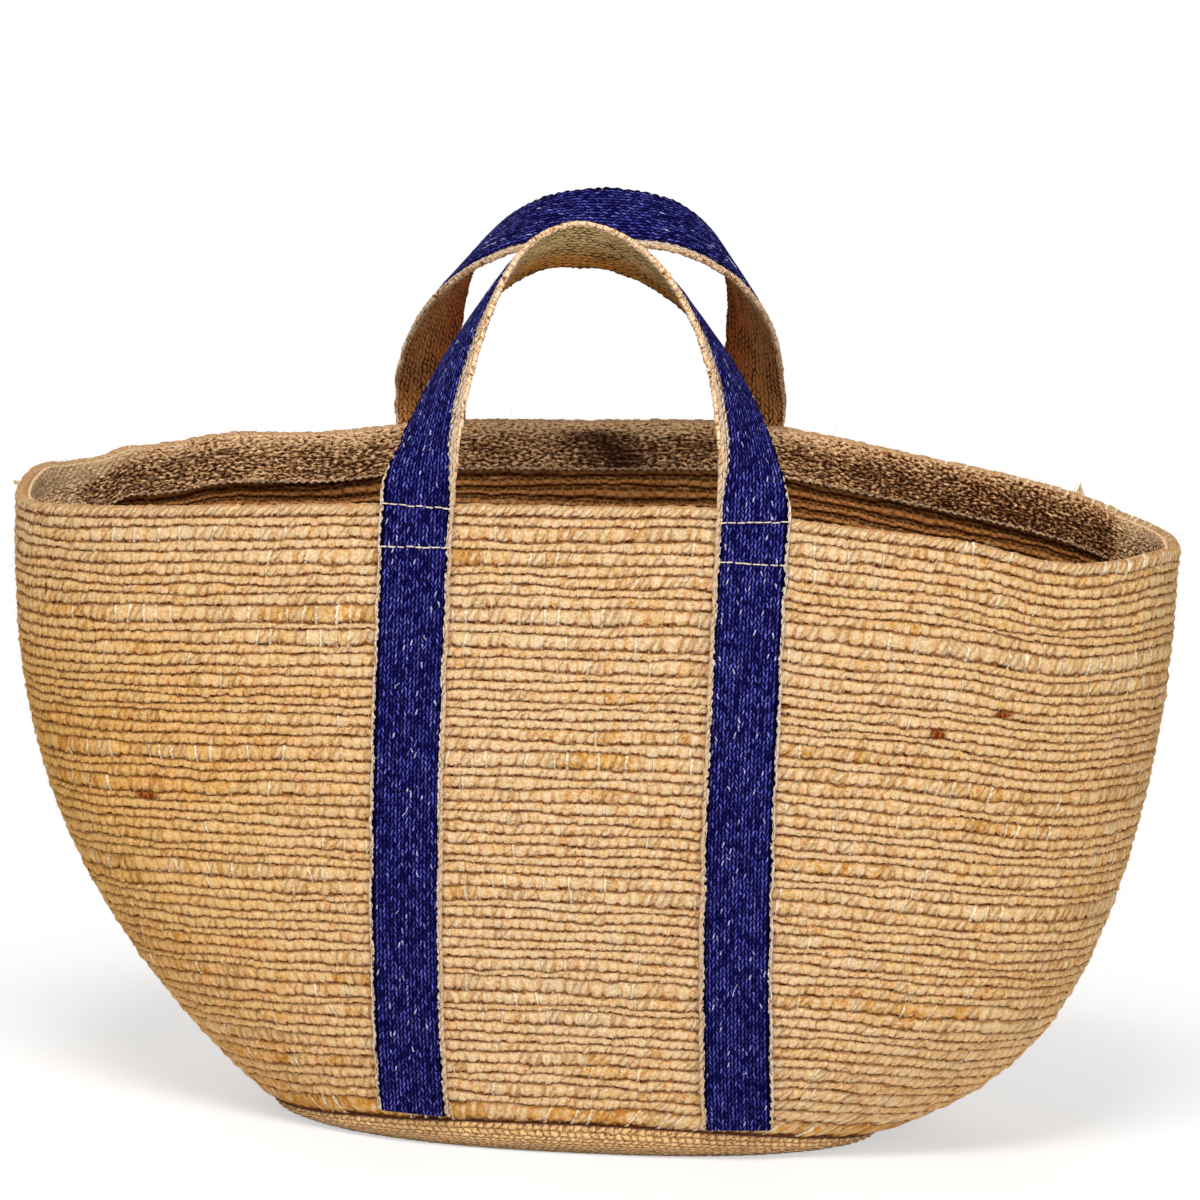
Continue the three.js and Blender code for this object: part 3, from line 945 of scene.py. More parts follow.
# A sheet inside the wall: out at one depth, back at another, from the seam to under the rim rope
def makeCore():
    ring = EvenRing(rimHeightAt)
    angle = ring.angleAt(ring.evenLengths(core["around"]))[:, None]
    rising = np.linspace(0, 1, core["up"])
    share = np.concatenate([rising, rising[::-1]])
    depth = np.where(np.arange(2 * core["up"]) < core["up"], core["outerDepth"], core["innerDepth"])
    z = mix(seamHeightAt(angle) + 1.0, rimHeightAt(angle) - 0.6 * basket["rimRopeHeight"], share)
    faces, _ = gridFaces(core["around"], len(share), closeRows=True, closeColumns=True)
    points = insideWall(angle, z, depth).reshape(-1, 3)
    piece = makePiece("rope_sewing_core", points, [(faces, None)], makeCoreMaterial())
    placeOnBasket(piece, "rope_wall")


makeCore()
print("sewing core done")


# Rim rope: one thicker row with slanted wraps, thickest at the right end

rimRope = dict(rope, lumpShare=0.8, slantedShare=0.9, slantReach=2.2, proud=3.0, pinch=0.2,
               scallop=0.0, overlap=1.08, lumpSwell=(0.94, 1.06), endGain=0.3, wander=0.3,
               tone=(0.72, 0.09), golden=0.35, goldenShare=0.03, seed=23)


# Between the rim and a thickness below it, which grows at the right end
def makeRimRope():
    rng = np.random.default_rng(rimRope["seed"])
    wander = rng.uniform(-0.5, 0.5, 60)

    def lowerAt(angle):
        rightEnd = smoothStep(np.cos(angle), 0.75, 0.98)
        thickness = basket["rimRopeHeight"] * (1 + rimRope["endGain"] * rightEnd)
        return rimHeightAt(angle) - thickness + rimRope["wander"] * ringNoise(wander, shareRound(angle))

    def yarnAt(rng, ring, starts, lengths):
        tone = clamp01(rng.normal(*rimRope["tone"], len(starts)))
        return tone, np.where(rng.random(len(starts)) < rimRope["goldenShare"], rimRope["golden"], 0)

    row = ropeRow(rng, rope["rows"], lowerAt, rimHeightAt, rimRope, yarnAt)
    piece = joinRows("rim_rope_row", [row], ropeMaterial)
    placeOnBasket(piece, "rim_rope")
    return piece


rimPiece = makeRimRope()
print("rim rope faces:", len(rimPiece.data.polygons))


# Woven tape inside the rim

facing = {
    "depth": 24.0,
    "topInset": 1.2,
    "thickness": 1.5,
    "clearance": 0.25,
    "stepsAround": 1800,
    "stepsDown": 30,
    "backSteps": 4,
    "nubAlong": 2.5,
    "nubDown": 2.2,
    "relief": 0.42,
    "grain": 0.35,
    "scallop": 0.5,
    "scallopLength": 4.2,
    "lowerHang": 3.4,
    "paintedLowerShadeShare": 0.3,
    "nubMottle": 3.2,
    "fuzzMottle": 1.3,
    "wrinkleShadeShare": 0.85,
    "paintedShadowPatchShare": 0.95,
    "hemShare": 0.75,
    "hemHeight": 1.7,
    "seed": 31,
}

facingColours = {
    "light": (252, 210, 160),
    "middle": (178, 124, 76),
    "dark": (54, 19, 7),
    "hem": (236, 198, 158),
    "fold": (230, 192, 148),
}


# Nubs drawn out along the tape, with painted shade that leaves it light under the rim and darkens it lower
# down and towards its right end;
# thin dark wrinkles of painted shade along it; and one painted shadow at the middle of the back
def makeFacingMaterial():
    material, tree = newMaterial("juteTape", 0.92)
    along, down = threadPlace(tree)
    x, y, _ = separate(objectPlace(tree))
    fibres = fibresAt(combine(along, down), 1.6, 0.6)
    nubs = combine(along * 0.42, down * 0.75).noise(1.0, 1.5)
    slow = combine(along * 0.04, down * 0.12).noise(1.0)
    # Painted shade: the tape darker lower down, in soft patches, and towards its right end
    paintedLowerShade = slow * 2.0 + (down.rise(1.0, 13.0) - 1.0)
    atEnd = abs(x).rise(0.256, 0.268) * 0.55 + x.rise(0.06, 0.2) * -0.28
    level = nubs * facing["nubMottle"] + (fibres["Fuzz"] * facing["fuzzMottle"] + (atEnd - 1.42))
    level = level - paintedLowerShade * facing["paintedLowerShadeShare"]
    colour = level.rise(0.05, 0.6).blend(facingColours["dark"], facingColours["middle"])
    colour = level.rise(0.5, 1.0).blend(colour, facingColours["light"])
    # Thin wrinkles along the tape, darkened by painted shade
    wrinkle = abs(combine(along * 0.09, nubs * 0.5 + down * 0.42).noise(1.0) - 0.5)
    wrinkle = (1.0 - wrinkle.rise(0.0, 0.055)) * down.rise(2.0, 8.0)
    colour = (wrinkle * facing["wrinkleShadeShare"]).blend(colour, facingColours["dark"])
    # A painted shadow at the middle of the back, from the rim down
    besideMiddle = nubs * 0.03 + abs(down * -0.0009 + (x + 0.006))
    paintedShadowPatch = (1.0 - besideMiddle.rise(0.012, 0.05)) * (y > 0.0) * down.rise(0.5, 6.0)
    colour = (paintedShadowPatch * facing["paintedShadowPatchShare"]).blend(colour, facingColours["dark"])
    foldReach = nubs * -6.0 + x.rise(-0.21, -0.272) * 16.0
    fold = (foldReach - down).rise(0.0, 3.0) * fibres["Fuzz"].rescale(0.3, 0.6, 0.6, 1.0)
    colour = fold.blend(colour, facingColours["fold"])
    hem = down.rise(facing["depth"] - facing["hemHeight"], facing["depth"] - 1.0)
    hem = hem * along.noise(0.4, 2.0, 0.6).rise(0.35, 0.55)
    colour = (hem * facing["hemShare"]).blend(colour, facingColours["hem"])
    height = nubs * 2.0 + fibres["Fuzz"] * 0.8 - wrinkle * 0.8
    return dress(material, colour, height, 1.0)


# The tape's section goes down its face, under its hem and up its back, carried round inside the rim
def makeFacing():
    rng = np.random.default_rng(facing["seed"])
    around, down, back = (facing[label] for label in ("stepsAround", "stepsDown", "backSteps"))
    ring = EvenRing(rimHeightAt)
    length = ring.evenLengths(around)
    angle = ring.angleAt(length)[:, None]
    hang = ringNoise(rng.uniform(0.1, 1, 22), length / ring.total)
    nubs = int(ring.total / facing["nubAlong"] / 2) * 2

    drop = np.concatenate([np.linspace(0, facing["depth"], down), np.linspace(facing["depth"], 0, back)])
    onFace = np.concatenate([np.ones(down), np.zeros(back)])
    columns = len(drop)
    weave = np.sin(np.pi * nubs * length / ring.total)[:, None] * np.sin(np.pi * drop / facing["nubDown"])
    relief = facing["relief"] * (weave + rng.normal(0, facing["grain"], (around, columns))) * onFace
    relief[:, [0, down - 1]] *= 0.4
    scallops = round(ring.total / facing["scallopLength"])
    scallop = facing["scallop"] * np.sin(2 * np.pi * scallops * length / ring.total)
    hemShare = (drop / facing["depth"]) ** 6
    depthIn = basket["wallThickness"] + facing["clearance"] + facing["thickness"] * onFace + relief
    depthIn = depthIn + facing["lowerHang"] * hang[:, None] * (drop / facing["depth"]) ** 2
    z = rimHeightAt(angle) - facing["topInset"] - drop - scallop[:, None] * hemShare
    points = insideWall(angle, z, depthIn)
    faces, places = gridFaces(around, columns, closeRows=True, closeColumns=True)
    lengths = np.append(length, ring.total)
    drops = np.append(drop, 0)
    uv = np.stack([lengths[places[..., 0]], drops[places[..., 1]]], -1)
    piece = makePiece("rim_facing_tape", points.reshape(-1, 3), [(faces, uv)], makeFacingMaterial())
    placeOnBasket(piece, "rim_facing")
    return piece, ring.total


facingPiece, facingLength = makeFacing()
print("facing tape length:", round(facingLength), "mm, faces:", len(facingPiece.data.polygons))


# Woven base

baseCloth = {
    "stepsAround": 800,
    "floorSteps": 10,
    "bandSteps": 22,
    "seamDrop": 0.4,
    "nub": 4.0,
    "nubHeight": 2.0,
    "relief": 0.45,
    "grain": 0.25,
    "ringSpread": 0.8,
    "overWall": 0.3,
    "seamShare": 0.9,
    "seed": 41,
}

# The weave's columns go up the band and its rows along it
baseWeave = {
    "cellWide": baseCloth["nubHeight"],
    "cellLong": baseCloth["nub"],
    "shakenAcross": -1.0,
    "shakenAlong": 1.4,
    "lean": 0.35,
    "strokeWidth": 0.45,
}

baseColours = {
    "light": (232, 190, 132),
    "middle": (192, 146, 92),
    "dark": (84, 48, 14),
    "seam": (92, 32, 4),
}


# Weave cells shaken a little by noise, dark between them, and a dark line of painted shadow along the sewn
# seam at the top
def makeBaseMaterial(seamAt):
    material, tree = newMaterial("baseCloth", 0.92, 0.1)
    along, up = threadPlace(tree)
    shaken = combine(along, up).noise(0.45, 3.0, 0.6)
    weave = weaveAt(up, along, shaken, baseWeave)
    fibres = fibresAt(combine(along, up), 1.6, 0.5)
    level = weave["Cell"] * 0.25 + (weave["Height"] * 0.75 + (fibres["Grain"] * 1.9 - 0.82))
    colour = level.rise(0.0, 0.6).blend(baseColours["dark"], baseColours["middle"])
    colour = level.rise(0.55, 1.0).blend(colour, baseColours["light"])
    z = separate(objectPlace(tree))[2]
    # Painted shadow along the top of the band, under the wall's first row
    seam = (shaken * 2.0 + up).rise(seamAt + 0.3, seamAt + 1.3)
    seam = seam * (z > 1.5 * basket["baseThickness"] * millimetre)
    colour = (seam * baseCloth["seamShare"]).blend(colour, baseColours["seam"])
    return dress(material, colour, fibres["Fuzz"] * 0.5 + weave["Height"], 0.9)


# A dish: flat rings on the floor, a turned-up band to the seam, and the same again inside it.
# The band bends up with share along the floor as a sine and share of height as a square.
def makeBase():
    rng = np.random.default_rng(baseCloth["seed"])
    around, flat, band = (baseCloth[label] for label in ("stepsAround", "floorSteps", "bandSteps"))
    thickness = basket["baseThickness"]
    ring = EvenRing(seamHeightAt)
    length = ring.evenLengths(around)
    angle = ring.angleAt(length)
    power = 2 / basket["footPlanExponent"]
    plan = np.stack([signedPower(np.cos(angle), power), signedPower(np.sin(angle), power)], -1)

    def floorRing(inset, share, height):
        size = np.array([basket["floorHalfWidth"] - inset, basket["floorHalfDepth"] - inset])
        return np.concatenate([plan * size * share, np.full((around, 1), height)], 1)

    def turnUp(start, end, share):
        spread = math.sin(share * math.pi / 2)
        shares = np.array([spread, spread, share ** 2])
        return start + (end - start) * shares

    seamHeight = seamHeightAt(angle) - baseCloth["seamDrop"]
    seamOut, seamIn = (insideWall(angle, seamHeight, np.full(around, depth)) for depth in
                       (baseCloth["overWall"], basket["wallThickness"]))
    under, over = floorRing(0, 1, 0), floorRing(thickness, 1, thickness)
    floorShares = (np.arange(1, flat) / flat) ** baseCloth["ringSpread"]
    bandShares = np.linspace(0, 1, band)
    rings = [floorRing(0, share, 0) for share in floorShares]
    rings += [turnUp(under, seamOut, share) for share in bandShares]
    rings += [turnUp(over, seamIn, share) for share in bandShares[::-3]]
    rings += [floorRing(thickness, share, thickness) for share in floorShares[::-1]]
    points = np.stack(rings, 1)
    steps = np.linalg.norm(np.diff(points[0], axis=0), axis=1)
    distance = np.concatenate([[0], np.cumsum(steps)])

    # Nubs of the weave on the turned-up band, pushed out along the wall's own direction
    inner = len(floorShares)
    bandFrom, bandTo = inner + 3, inner + band
    nubs = int(ring.total / baseCloth["nub"])
    weave = np.sin(np.pi * nubs * length / ring.total)[:, None]
    weave = weave * np.sin(np.pi * distance / baseCloth["nubHeight"])
    out = wallNormal(angle, seamHeightAt(angle))[:, None]
    relief = baseCloth["relief"] * (weave + rng.normal(0, baseCloth["grain"], weave.shape))
    points[:, bandFrom:bandTo] += (out * relief[..., None])[:, bandFrom:bandTo]
    points[..., 2] = np.maximum(points[..., 2], 0)

    columns = points.shape[1]
    faces, places = gridFaces(around, columns, closeRows=True)
    lengths = np.append(length, ring.total)
    uv = np.stack([lengths[places[..., 0]], distance[places[..., 1]]], -1)
    column = places[..., 1]
    onFloor = (column.max(1) <= inner) | (column.min(1) >= columns - inner - 1)
    uv[onFloor] = points.reshape(-1, 3)[faces][onFloor][..., :2]
    allPoints = np.concatenate([points.reshape(-1, 3), [[0, 0, 0], [0, 0, thickness]]])
    this, following = np.arange(around) * columns, (np.arange(around) + 1) % around * columns
    lowest, highest = (np.full(around, len(allPoints) - k) for k in (2, 1))
    caps = np.concatenate([np.stack([following, this, lowest], 1),
                           np.stack([highest, this + columns - 1, following + columns - 1], 1)])
    blocks = [(faces, uv), (caps, allPoints[caps][..., :2])]
    piece = makePiece("base_cloth", allPoints, blocks, makeBaseMaterial(distance[inner + band - 1]))
    placeOnBasket(piece, "base_panel")
    under = points[:, :inner + band]
    return piece


basePiece = makeBase()
print("base cloth faces:", len(basePiece.data.polygons))


# Straps: two legs and a loop in one length on each side

strap = {
    "width": 36.0,
    "gap": 0.3,
    "thickness": 2.2,
    "bandThickness": 1.3,
    "bandFrom": -16.2,
    "bandTo": 15.2,
    "foot": 17.0,
    "legMiddle": -6.3,
    "legHalfSpacing": 81.7,
    "legFootHalfSpacing": 80.0,
    "legFootShift": 11.5,
    "cup": 1.2,
    "step": 1.15,
    "edgeWobble": 0.55,
    "scallopLength": 5.0,
    "scallop": 1.1,
    "cordRelief": 0.25,
    "rightSpread": 0.7,
    "leftTuck": 1.5,
    "bendFrom": 328.0,
    "bendTo": 345.0,
    "outerLevel": 0.3,
    "innerLevel": -1.9,
    "edgeLevel": -0.9,
    "cordHeight": 1.35,
    "ragged": 0.14,
    "bandFace": 0.75,
    "bandCrown": 1.1,
    "bandBack": 0.55,
    "bandDrift": 0.5,
    "ripple": 0.12,
    "cordFrom": (14.2, 15.0),
    "spreadFrom": (4.0, 34.0),
    "tuckFrom": (-8.0, 60.0),
    "scallopWander": 1.2,
    "seed": 51,
}

# Cords along the webbing's edges: where across, and half width
edgeCords = [(-16.8, 1.2), (15.75, 0.95), (17.15, 0.9)]

frontLoop = {
    "side": -1, "middle": -6.0, "halfSpan": 82.0, "rise": 117.0, "climb": 1.17, "fullness": 0.9,
    "apexShift": -8.5, "sway": 2.7, "shoulderPuff": 0.0,
    "lean": 97.0, "leanEase": 1.7, "twistEase": 0.585, "bandTuck": 4.6,
}
backLoop = {
    "side": 1, "middle": -7.5, "halfSpan": 82.5, "rise": 122.5, "climb": 1.09, "fullness": 0.68,
    "apexShift": 7.5, "sway": -0.3, "shoulderPuff": 6.5,
    "lean": 98.0, "leanEase": 1.72, "twistEase": 0.71, "bandTuck": 1.4,
}

# Places on the webbing's inner face are this much higher across, so that its material can tell
innerFaceMark = 100.0

legShare = strap["legHalfSpacing"] / basket["rimHalfWidth"]
strapTop = basket["rimHeight"] - basket["rimEndDrop"] * legShare ** 2
strapMiddle = strap["gap"] + (strap["thickness"] + strap["gap"] + strap["bandThickness"]) / 2
legAtTop = np.float64(strap["legMiddle"] + strap["legHalfSpacing"])
loopStartDepth = float(wallDepthAt(legAtTop, strapTop)) + strapMiddle


# A leg's middle: its spacing goes with the root of height, its shift fades as a cube
def legCentre(leg, z):
    share = clamp01(z / basket["rimHeight"])
    halfSpacing = mix(strap["legFootHalfSpacing"], strap["legHalfSpacing"], np.sqrt(share))
    return strap["legMiddle"] + strap["legFootShift"] * (1 - share) ** 3 + leg * halfSpacing


# The loop's middle line: its height is a power of the sine of the turn, and it leans in as it climbs
def loopPoint(loop, turn):
    across, upward = np.cos(turn), np.abs(np.sin(turn))
    height = upward ** loop["climb"]
    ease = loop["leanEase"] * height ** 2 + (1 - loop["leanEase"]) * height ** 3
    shoulder = 4 * upward ** 2 * across ** 2
    reach = loop["halfSpan"] * np.abs(across) ** loop["fullness"] + loop["shoulderPuff"] * shoulder
    x = loop["middle"] + loop["apexShift"] * upward ** 2 + loop["sway"] * shoulder - np.sign(across) * reach
    wider = strap["legHalfSpacing"] - loop["halfSpan"]
    startGap = strap["legMiddle"] - loop["middle"] - np.sign(across) * wider
    x = x + startGap * (1 - smoothStep(upward, 0, 0.35))
    y = loop["side"] * (loopStartDepth - loop["lean"] * ease)
    return np.stack([x, y, strapTop + loop["rise"] * height], -1)


# The strap's directions on the loop: its face looks forward at the legs and away from the middle on top
def loopFrame(loop, turn):
    before, after = np.maximum(turn - turnStep / 2, 0), np.minimum(turn + turnStep / 2, np.pi)
    along = unit(loopPoint(loop, after) - loopPoint(loop, before))
    height = np.abs(np.sin(turn)) ** loop["climb"]
    easeSlope = 2 * loop["leanEase"] * height + 3 * (1 - loop["leanEase"]) * height ** 2
    slope = np.arctan((loop["lean"] / loop["rise"]) * easeSlope)
    forward = np.stack([np.zeros_like(slope), loop["side"] * np.cos(slope), np.sin(slope)], -1)
    forward = unit(forward - (forward * along).sum(-1, keepdims=True) * along)
    away = np.cross(along, forward) * loop["side"]
    share = np.minimum(turn, np.pi - turn) / (np.pi / 2)
    twist = (np.pi / 2) * share ** loop["twistEase"] * smoothStep(share, 0, 0.2)
    out = forward * np.cos(twist)[:, None] + away * np.sin(twist)[:, None]
    return out, np.cross(along, out)


# Rows along one strap: up the first leg, over the loop, down the second leg
class StrapPath:
    def __init__(self, loop, step):
        self.loop, self.side = loop, loop["side"]
        legLength = strapTop - strap["foot"]
        self.rising = np.arange(strap["foot"], strapTop - 0.3 * step, step)
        fine = np.linspace(0, np.pi, 4001)
        steps = np.linalg.norm(np.diff(loopPoint(loop, fine), axis=0), axis=1)
        lengths = np.concatenate([[0], np.cumsum(steps)])
        even = np.linspace(0, lengths[-1], int(lengths[-1] / step) + 1)
        self.turn = np.interp(even, lengths, fine)
        self.total = 2 * legLength + lengths[-1]
        up = self.rising - strap["foot"]
        self.along = np.concatenate([up, legLength + even, self.total - up[::-1]])
        self.first, self.last = len(up), len(up) + len(even)

    def legPoints(self, leg, z, places, outward):
        x = legCentre(leg, z)[:, None] + self.side * leg * places
        height = np.broadcast_to(z[:, None], x.shape)
        reach = wallReach(self.side, x, height) + strapMiddle + outward
        return np.stack([x, self.side * reach, height], -1)

    def loopPoints(self, places, outward):
        centre, (out, across) = loopPoint(self.loop, self.turn), loopFrame(self.loop, self.turn)
        cup = strap["cup"] * np.sin(self.turn)[:, None] * (2 * places / strap["width"]) ** 2
        points = centre[:, None] + across[:, None] * places[..., None]
        points = points + out[:, None] * (outward - cup)[..., None]
        reach = wallReach(self.side, points[..., 0], np.full(points.shape[:2], strapTop)) + strapMiddle
        share = np.minimum(self.turn, np.pi - self.turn) / (np.pi / 2)
        points[..., 1] += self.side * (reach - loopStartDepth) * (1 - smoothStep(share, 0, 0.22))[:, None]
        return points

    # Points at places across the strap and distances out of its middle, both (rows, columns)
    def points(self, places, outward):
        first, last = self.first, self.last
        return np.concatenate([
            self.legPoints(-1, self.rising, places[:first], outward[:first]),
            self.loopPoints(places[first:last], outward[first:last]),
            self.legPoints(1, self.rising[::-1], places[last:], outward[last:]),
        ])


# A closed band: a section (places across, distances out) carried along the strap, with flat ends
def strapMesh(name, path, places, outward, material, faceMarks):
    points = path.points(places, outward)
    rows, columns = places.shape
    faces, spots = gridFaces(rows, columns, closeColumns=True)
    u = places[spots[..., 0], spots[..., 1] % columns] + faceMarks[spots[:, :1, 1]]
    uv = np.stack([u, path.along[spots[..., 0]] - path.total / 2], -1)
    order = np.arange(columns // 2 - 1)
    ladder = np.stack([order, order + 1, columns - 2 - order, columns - 1 - order], 1)
    startCap, endCap = ladder[:, ::-1], ladder + (rows - 1) * columns
    blocks = [(faces, uv), (startCap, None), (endCap, None)]
    return makePiece(name, points.reshape(-1, 3), blocks, material)


# Weaves: how wide and long a cell is, how much noise shakes it, how its stroke leans and how wide that is
navyWeave = {
    "cellWide": 1.8,
    "cellLong": 3.1,
    "shakenAcross": 0.9,
    "shakenAlong": 1.1,
    "lean": 0.5,
    "strokeWidth": 0.36,
}
webbingWeave = {
    "cellWide": 2.2,
    "cellLong": 4.4,
    "shakenAcross": 1.4,
    "shakenAlong": 1.6,
    "lean": 0.6,
    "strokeWidth": 0.5,
}

navyColours = {
    "ground": (3, 1, 24),
    "shade": (12, 10, 66),
    "dash": (76, 76, 170),
    "bright": (150, 148, 226),
    "fleck": (206, 206, 240),
}

webbingColours = {
    "cream": (252, 230, 208),
    "tan": (212, 170, 124),
    "dark": (84, 44, 16),
    "innerPaintedShade": (216, 144, 54),
    "innerPaintedLight": (255, 222, 156),
    "innerPaintedLowShade": (226, 178, 146),
    "outerCord": (248, 232, 208),
}


# Blue dashes on a nearly black ground, a few of them white, and a dark border
def makeNavyMaterial():
    material, tree = newMaterial("navyBand", 0.95, gloss=0.02)
    across, along = threadPlace(tree)
    shaken = combine(across, along).noise(0.35, 3.0, 0.65)
    weave = weaveAt(across, along, shaken, navyWeave)
    fibres = fibresAt(combine(along, across), 1.6, 0.5)
    colour = fibres["Grain"].rise(0.35, 0.7).blend(navyColours["ground"], navyColours["shade"])
    level = weave["Cell"] * 0.75 + (fibres["Grain"] * 1.6 + (shaken - 1.0))
    dash = level.rise(0.3, 0.95).blend(navyColours["shade"], navyColours["dash"])
    dash = level.rise(0.95, 1.3).blend(dash, navyColours["bright"])
    isFleck = weave["Cell"].rise(0.965, 0.975) * fibres["Fuzz"].rise(0.46, 0.56)
    dash = isFleck.blend(dash, navyColours["fleck"])
    colour = weave["Stroke"].blend(colour, dash)
    colour = abs(across + 0.45).rise(14.2, 15.4).blend(colour, navyColours["ground"])
    return dress(material, colour, weave["Height"] + fibres["Grain"] * 0.4, 0.7)


# Outer face: cream weave, paler on its edge cords. Inner face: its places are a hundred higher across,
# and painted shade takes it from brown to pale across its width, with soft folds of painted shade, and
# darkens it down the loop.
def makeWebbingMaterial():
    material, tree = newMaterial("juteWebbing", 0.9, 0.03)
    place, along = threadPlace(tree)
    inner = place > 0.5 * innerFaceMark
    outer = 1.0 - inner
    across = place - inner * innerFaceMark
    shaken = combine(across, along, inner).noise(0.3, 3.0, 0.6)
    weave = weaveAt(across, along, shaken, webbingWeave)
    fibres = fibresAt(combine(along, across), 2.6, 0.5)
    level = weave["Cell"] * 0.5 + weave["Height"] * 1.5 + (fibres["Grain"] * 2.8 + (inner * 0.14 - 1.92))
    level = abs(across).rise(13.0, 15.5) * outer * 0.62 + level
    colour = level.rise(0.0, 0.55).blend(webbingColours["dark"], webbingColours["tan"])
    colour = level.rise(0.45, 0.95).blend(colour, webbingColours["cream"])
    # Soft folds of painted shade on the inner face
    foldShade = combine(across * 0.22, along * 0.05, inner).noise(1.0, 2.0, 0.6) * 2.2 - 1.15
    # Painted shade and light on the inner face: brown at one edge, pale at the other
    innerPaintedShading = across.rise(-13.0, 9.0).blend(webbingColours["innerPaintedShade"], webbingColours["innerPaintedLight"])
    innerColour = (level + foldShade).rise(-0.05, 0.75).blend(webbingColours["dark"], innerPaintedShading)
    # Painted shade: the inner face darker low down the loop
    paintedLowShade = abs(along).rise(60.0, 120.0)
    innerColour = paintedLowShade.blend(innerColour, webbingColours["innerPaintedLowShade"], "MULTIPLY")
    colour = inner.blend(colour, innerColour)
    outerCord = across.rise(16.3, 16.7) * outer
    colour = outerCord.blend(colour, webbingColours["outerCord"], "MULTIPLY")
    return dress(material, colour, level, 0.7)


navyMaterial = makeNavyMaterial()
webbingMaterial = makeWebbingMaterial()


# Bakes a piece's place into its mesh; the hinge line from the basket over to a handle is worked out but not
# used
def bendAtRim(piece, loop):
    depth = loop["side"] * loopStartDepth * millimetre
    start, end = ((0, depth, strap[label] * millimetre) for label in ("bendFrom", "bendTo"))
    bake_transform(piece)
    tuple(start)
    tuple(end)


# One strap: a webbing with cords on its edges, and a navy band on its outer face
def makeStrap(label, loop):
    rng = np.random.default_rng(strap["seed"] + loop["side"])
    path = StrapPath(loop, strap["step"])
    along, rows = path.along, len(path.along)
    share = along / path.total * 0.999
    waves = rng.uniform(-1, 1, (4, 120))
    drift = [ringNoise(wave, share)[:, None] for wave in waves]
    nearRim = np.minimum(along, path.total - along) - (strapTop - strap["foot"])

    # Webbing: outer face with its cords, then the inner face back again
    half = strap["width"] / 2
    spans = [(-half, -15.0, 9), (-13.0, 13.0, 9), (14.4, half, 12)]
    outerPlaces = np.concatenate([np.linspace(*span) for span in spans])
    innerPlaces = np.linspace(half, -half, len(outerPlaces))
    level = np.full(len(outerPlaces), strap["outerLevel"])
    for middle, reach in edgeCords:
        dome = np.sqrt(clamp01(1 - ((outerPlaces - middle) / reach) ** 2))
        level = np.maximum(level, -0.1 + strap["cordHeight"] * dome)
    level[[0, -1]] = strap["edgeLevel"]
    innerLevel = strap["innerLevel"] + 0.5 * hump(np.abs(innerPlaces), half, 0.5)
    places = np.tile(np.concatenate([outerPlaces, innerPlaces[1:-1]]), (rows, 1))
    outward = np.tile(np.concatenate([level, innerLevel[1:-1]]), (rows, 1))
    onCord = smoothStep(np.abs(places), *strap["cordFrom"])
    onLoop = smoothStep(nearRim, *strap["spreadFrom"])[:, None]
    outward = outward + rng.normal(0, strap["cordRelief"], places.shape) * onCord
    places = places + np.where(places > 0, strap["rightSpread"], strap["leftTuck"]) * onLoop * onCord
    places = places + rng.normal(0, strap["ragged"], places.shape) * onCord
    wobble = drift[0] * (places < 0) + drift[1] * (places > 0)
    places = places + strap["edgeWobble"] * wobble * onCord
    marks = np.where(np.arange(places.shape[1]) < len(outerPlaces), 0.0, innerFaceMark)
    webbing = strapMesh(f"{label}_webbing_strap", path, places, outward, webbingMaterial, marks)

    # Band: crowned outer face with scalloped edges, and a flat inner face
    faceShares = np.concatenate([[0, 0.01, 0.03], np.linspace(0.06, 0.94, 25), [0.97, 0.99, 1]])
    shares = np.concatenate([faceShares, np.linspace(1, 0, len(faceShares))[1:-1]])
    uneven = along + strap["scallopWander"] * ringNoise(waves[2], share)
    edge = strap["scallop"] * np.abs(np.sin(np.pi * uneven / strap["scallopLength"]))[:, None]
    ragged = rng.normal(0, strap["ragged"], (2, rows))[..., None]
    tuck = loop["bandTuck"] * smoothStep(nearRim, *strap["tuckFrom"])[:, None]
    leftEdge = strap["bandFrom"] - edge + strap["bandDrift"] * drift[0] + ragged[0]
    rightEdge = strap["bandTo"] + np.roll(edge, 3, 0) + strap["bandDrift"] * drift[1] + ragged[1] - tuck
    crown = 1 - (2 * faceShares - 1) ** 8
    turn = np.pi * faceShares
    ripple = strap["ripple"] * (drift[2] * np.sin(3 * turn) + drift[3] * np.cos(2 * turn))
    face = strap["bandFace"] + strap["bandCrown"] * crown ** 0.5 + ripple * crown
    back = np.full((rows, len(shares) - len(faceShares)), strap["bandBack"])
    bandPlaces = mix(leftEdge, rightEdge, shares)
    band = strapMesh(f"{label}_navy_strap", path, bandPlaces, np.concatenate([face, back], 1), navyMaterial,
                     np.zeros(len(shares)))

    for piece, slot, node, part in ((webbing, "jute_webbing", "handle_webbing", "strap_leg"),
                                    (band, "navy_webbing", "handle_navy_band", "navy_band")):
        bendAtRim(piece, loop)
        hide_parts(f"{label}_{node}", *[f"{label}_{leg}_{part}" for leg in ("left", "right")])
    return path, webbing, band


# White threads that lie loose on a band: each starts anywhere, runs at a slant and wriggles
looseThread = {
    "count": 24,
    "nearTop": 11,
    "shortest": 2.0,
    "meanExtra": 2.6,
    "longest": 12.0,
    "radius": 0.13,
    "height": 2.05,
    "steps": 12,
    "columns": 28,
    "dark": (168, 168, 210),
    "light": (232, 232, 244),
    "seed": 91,
}


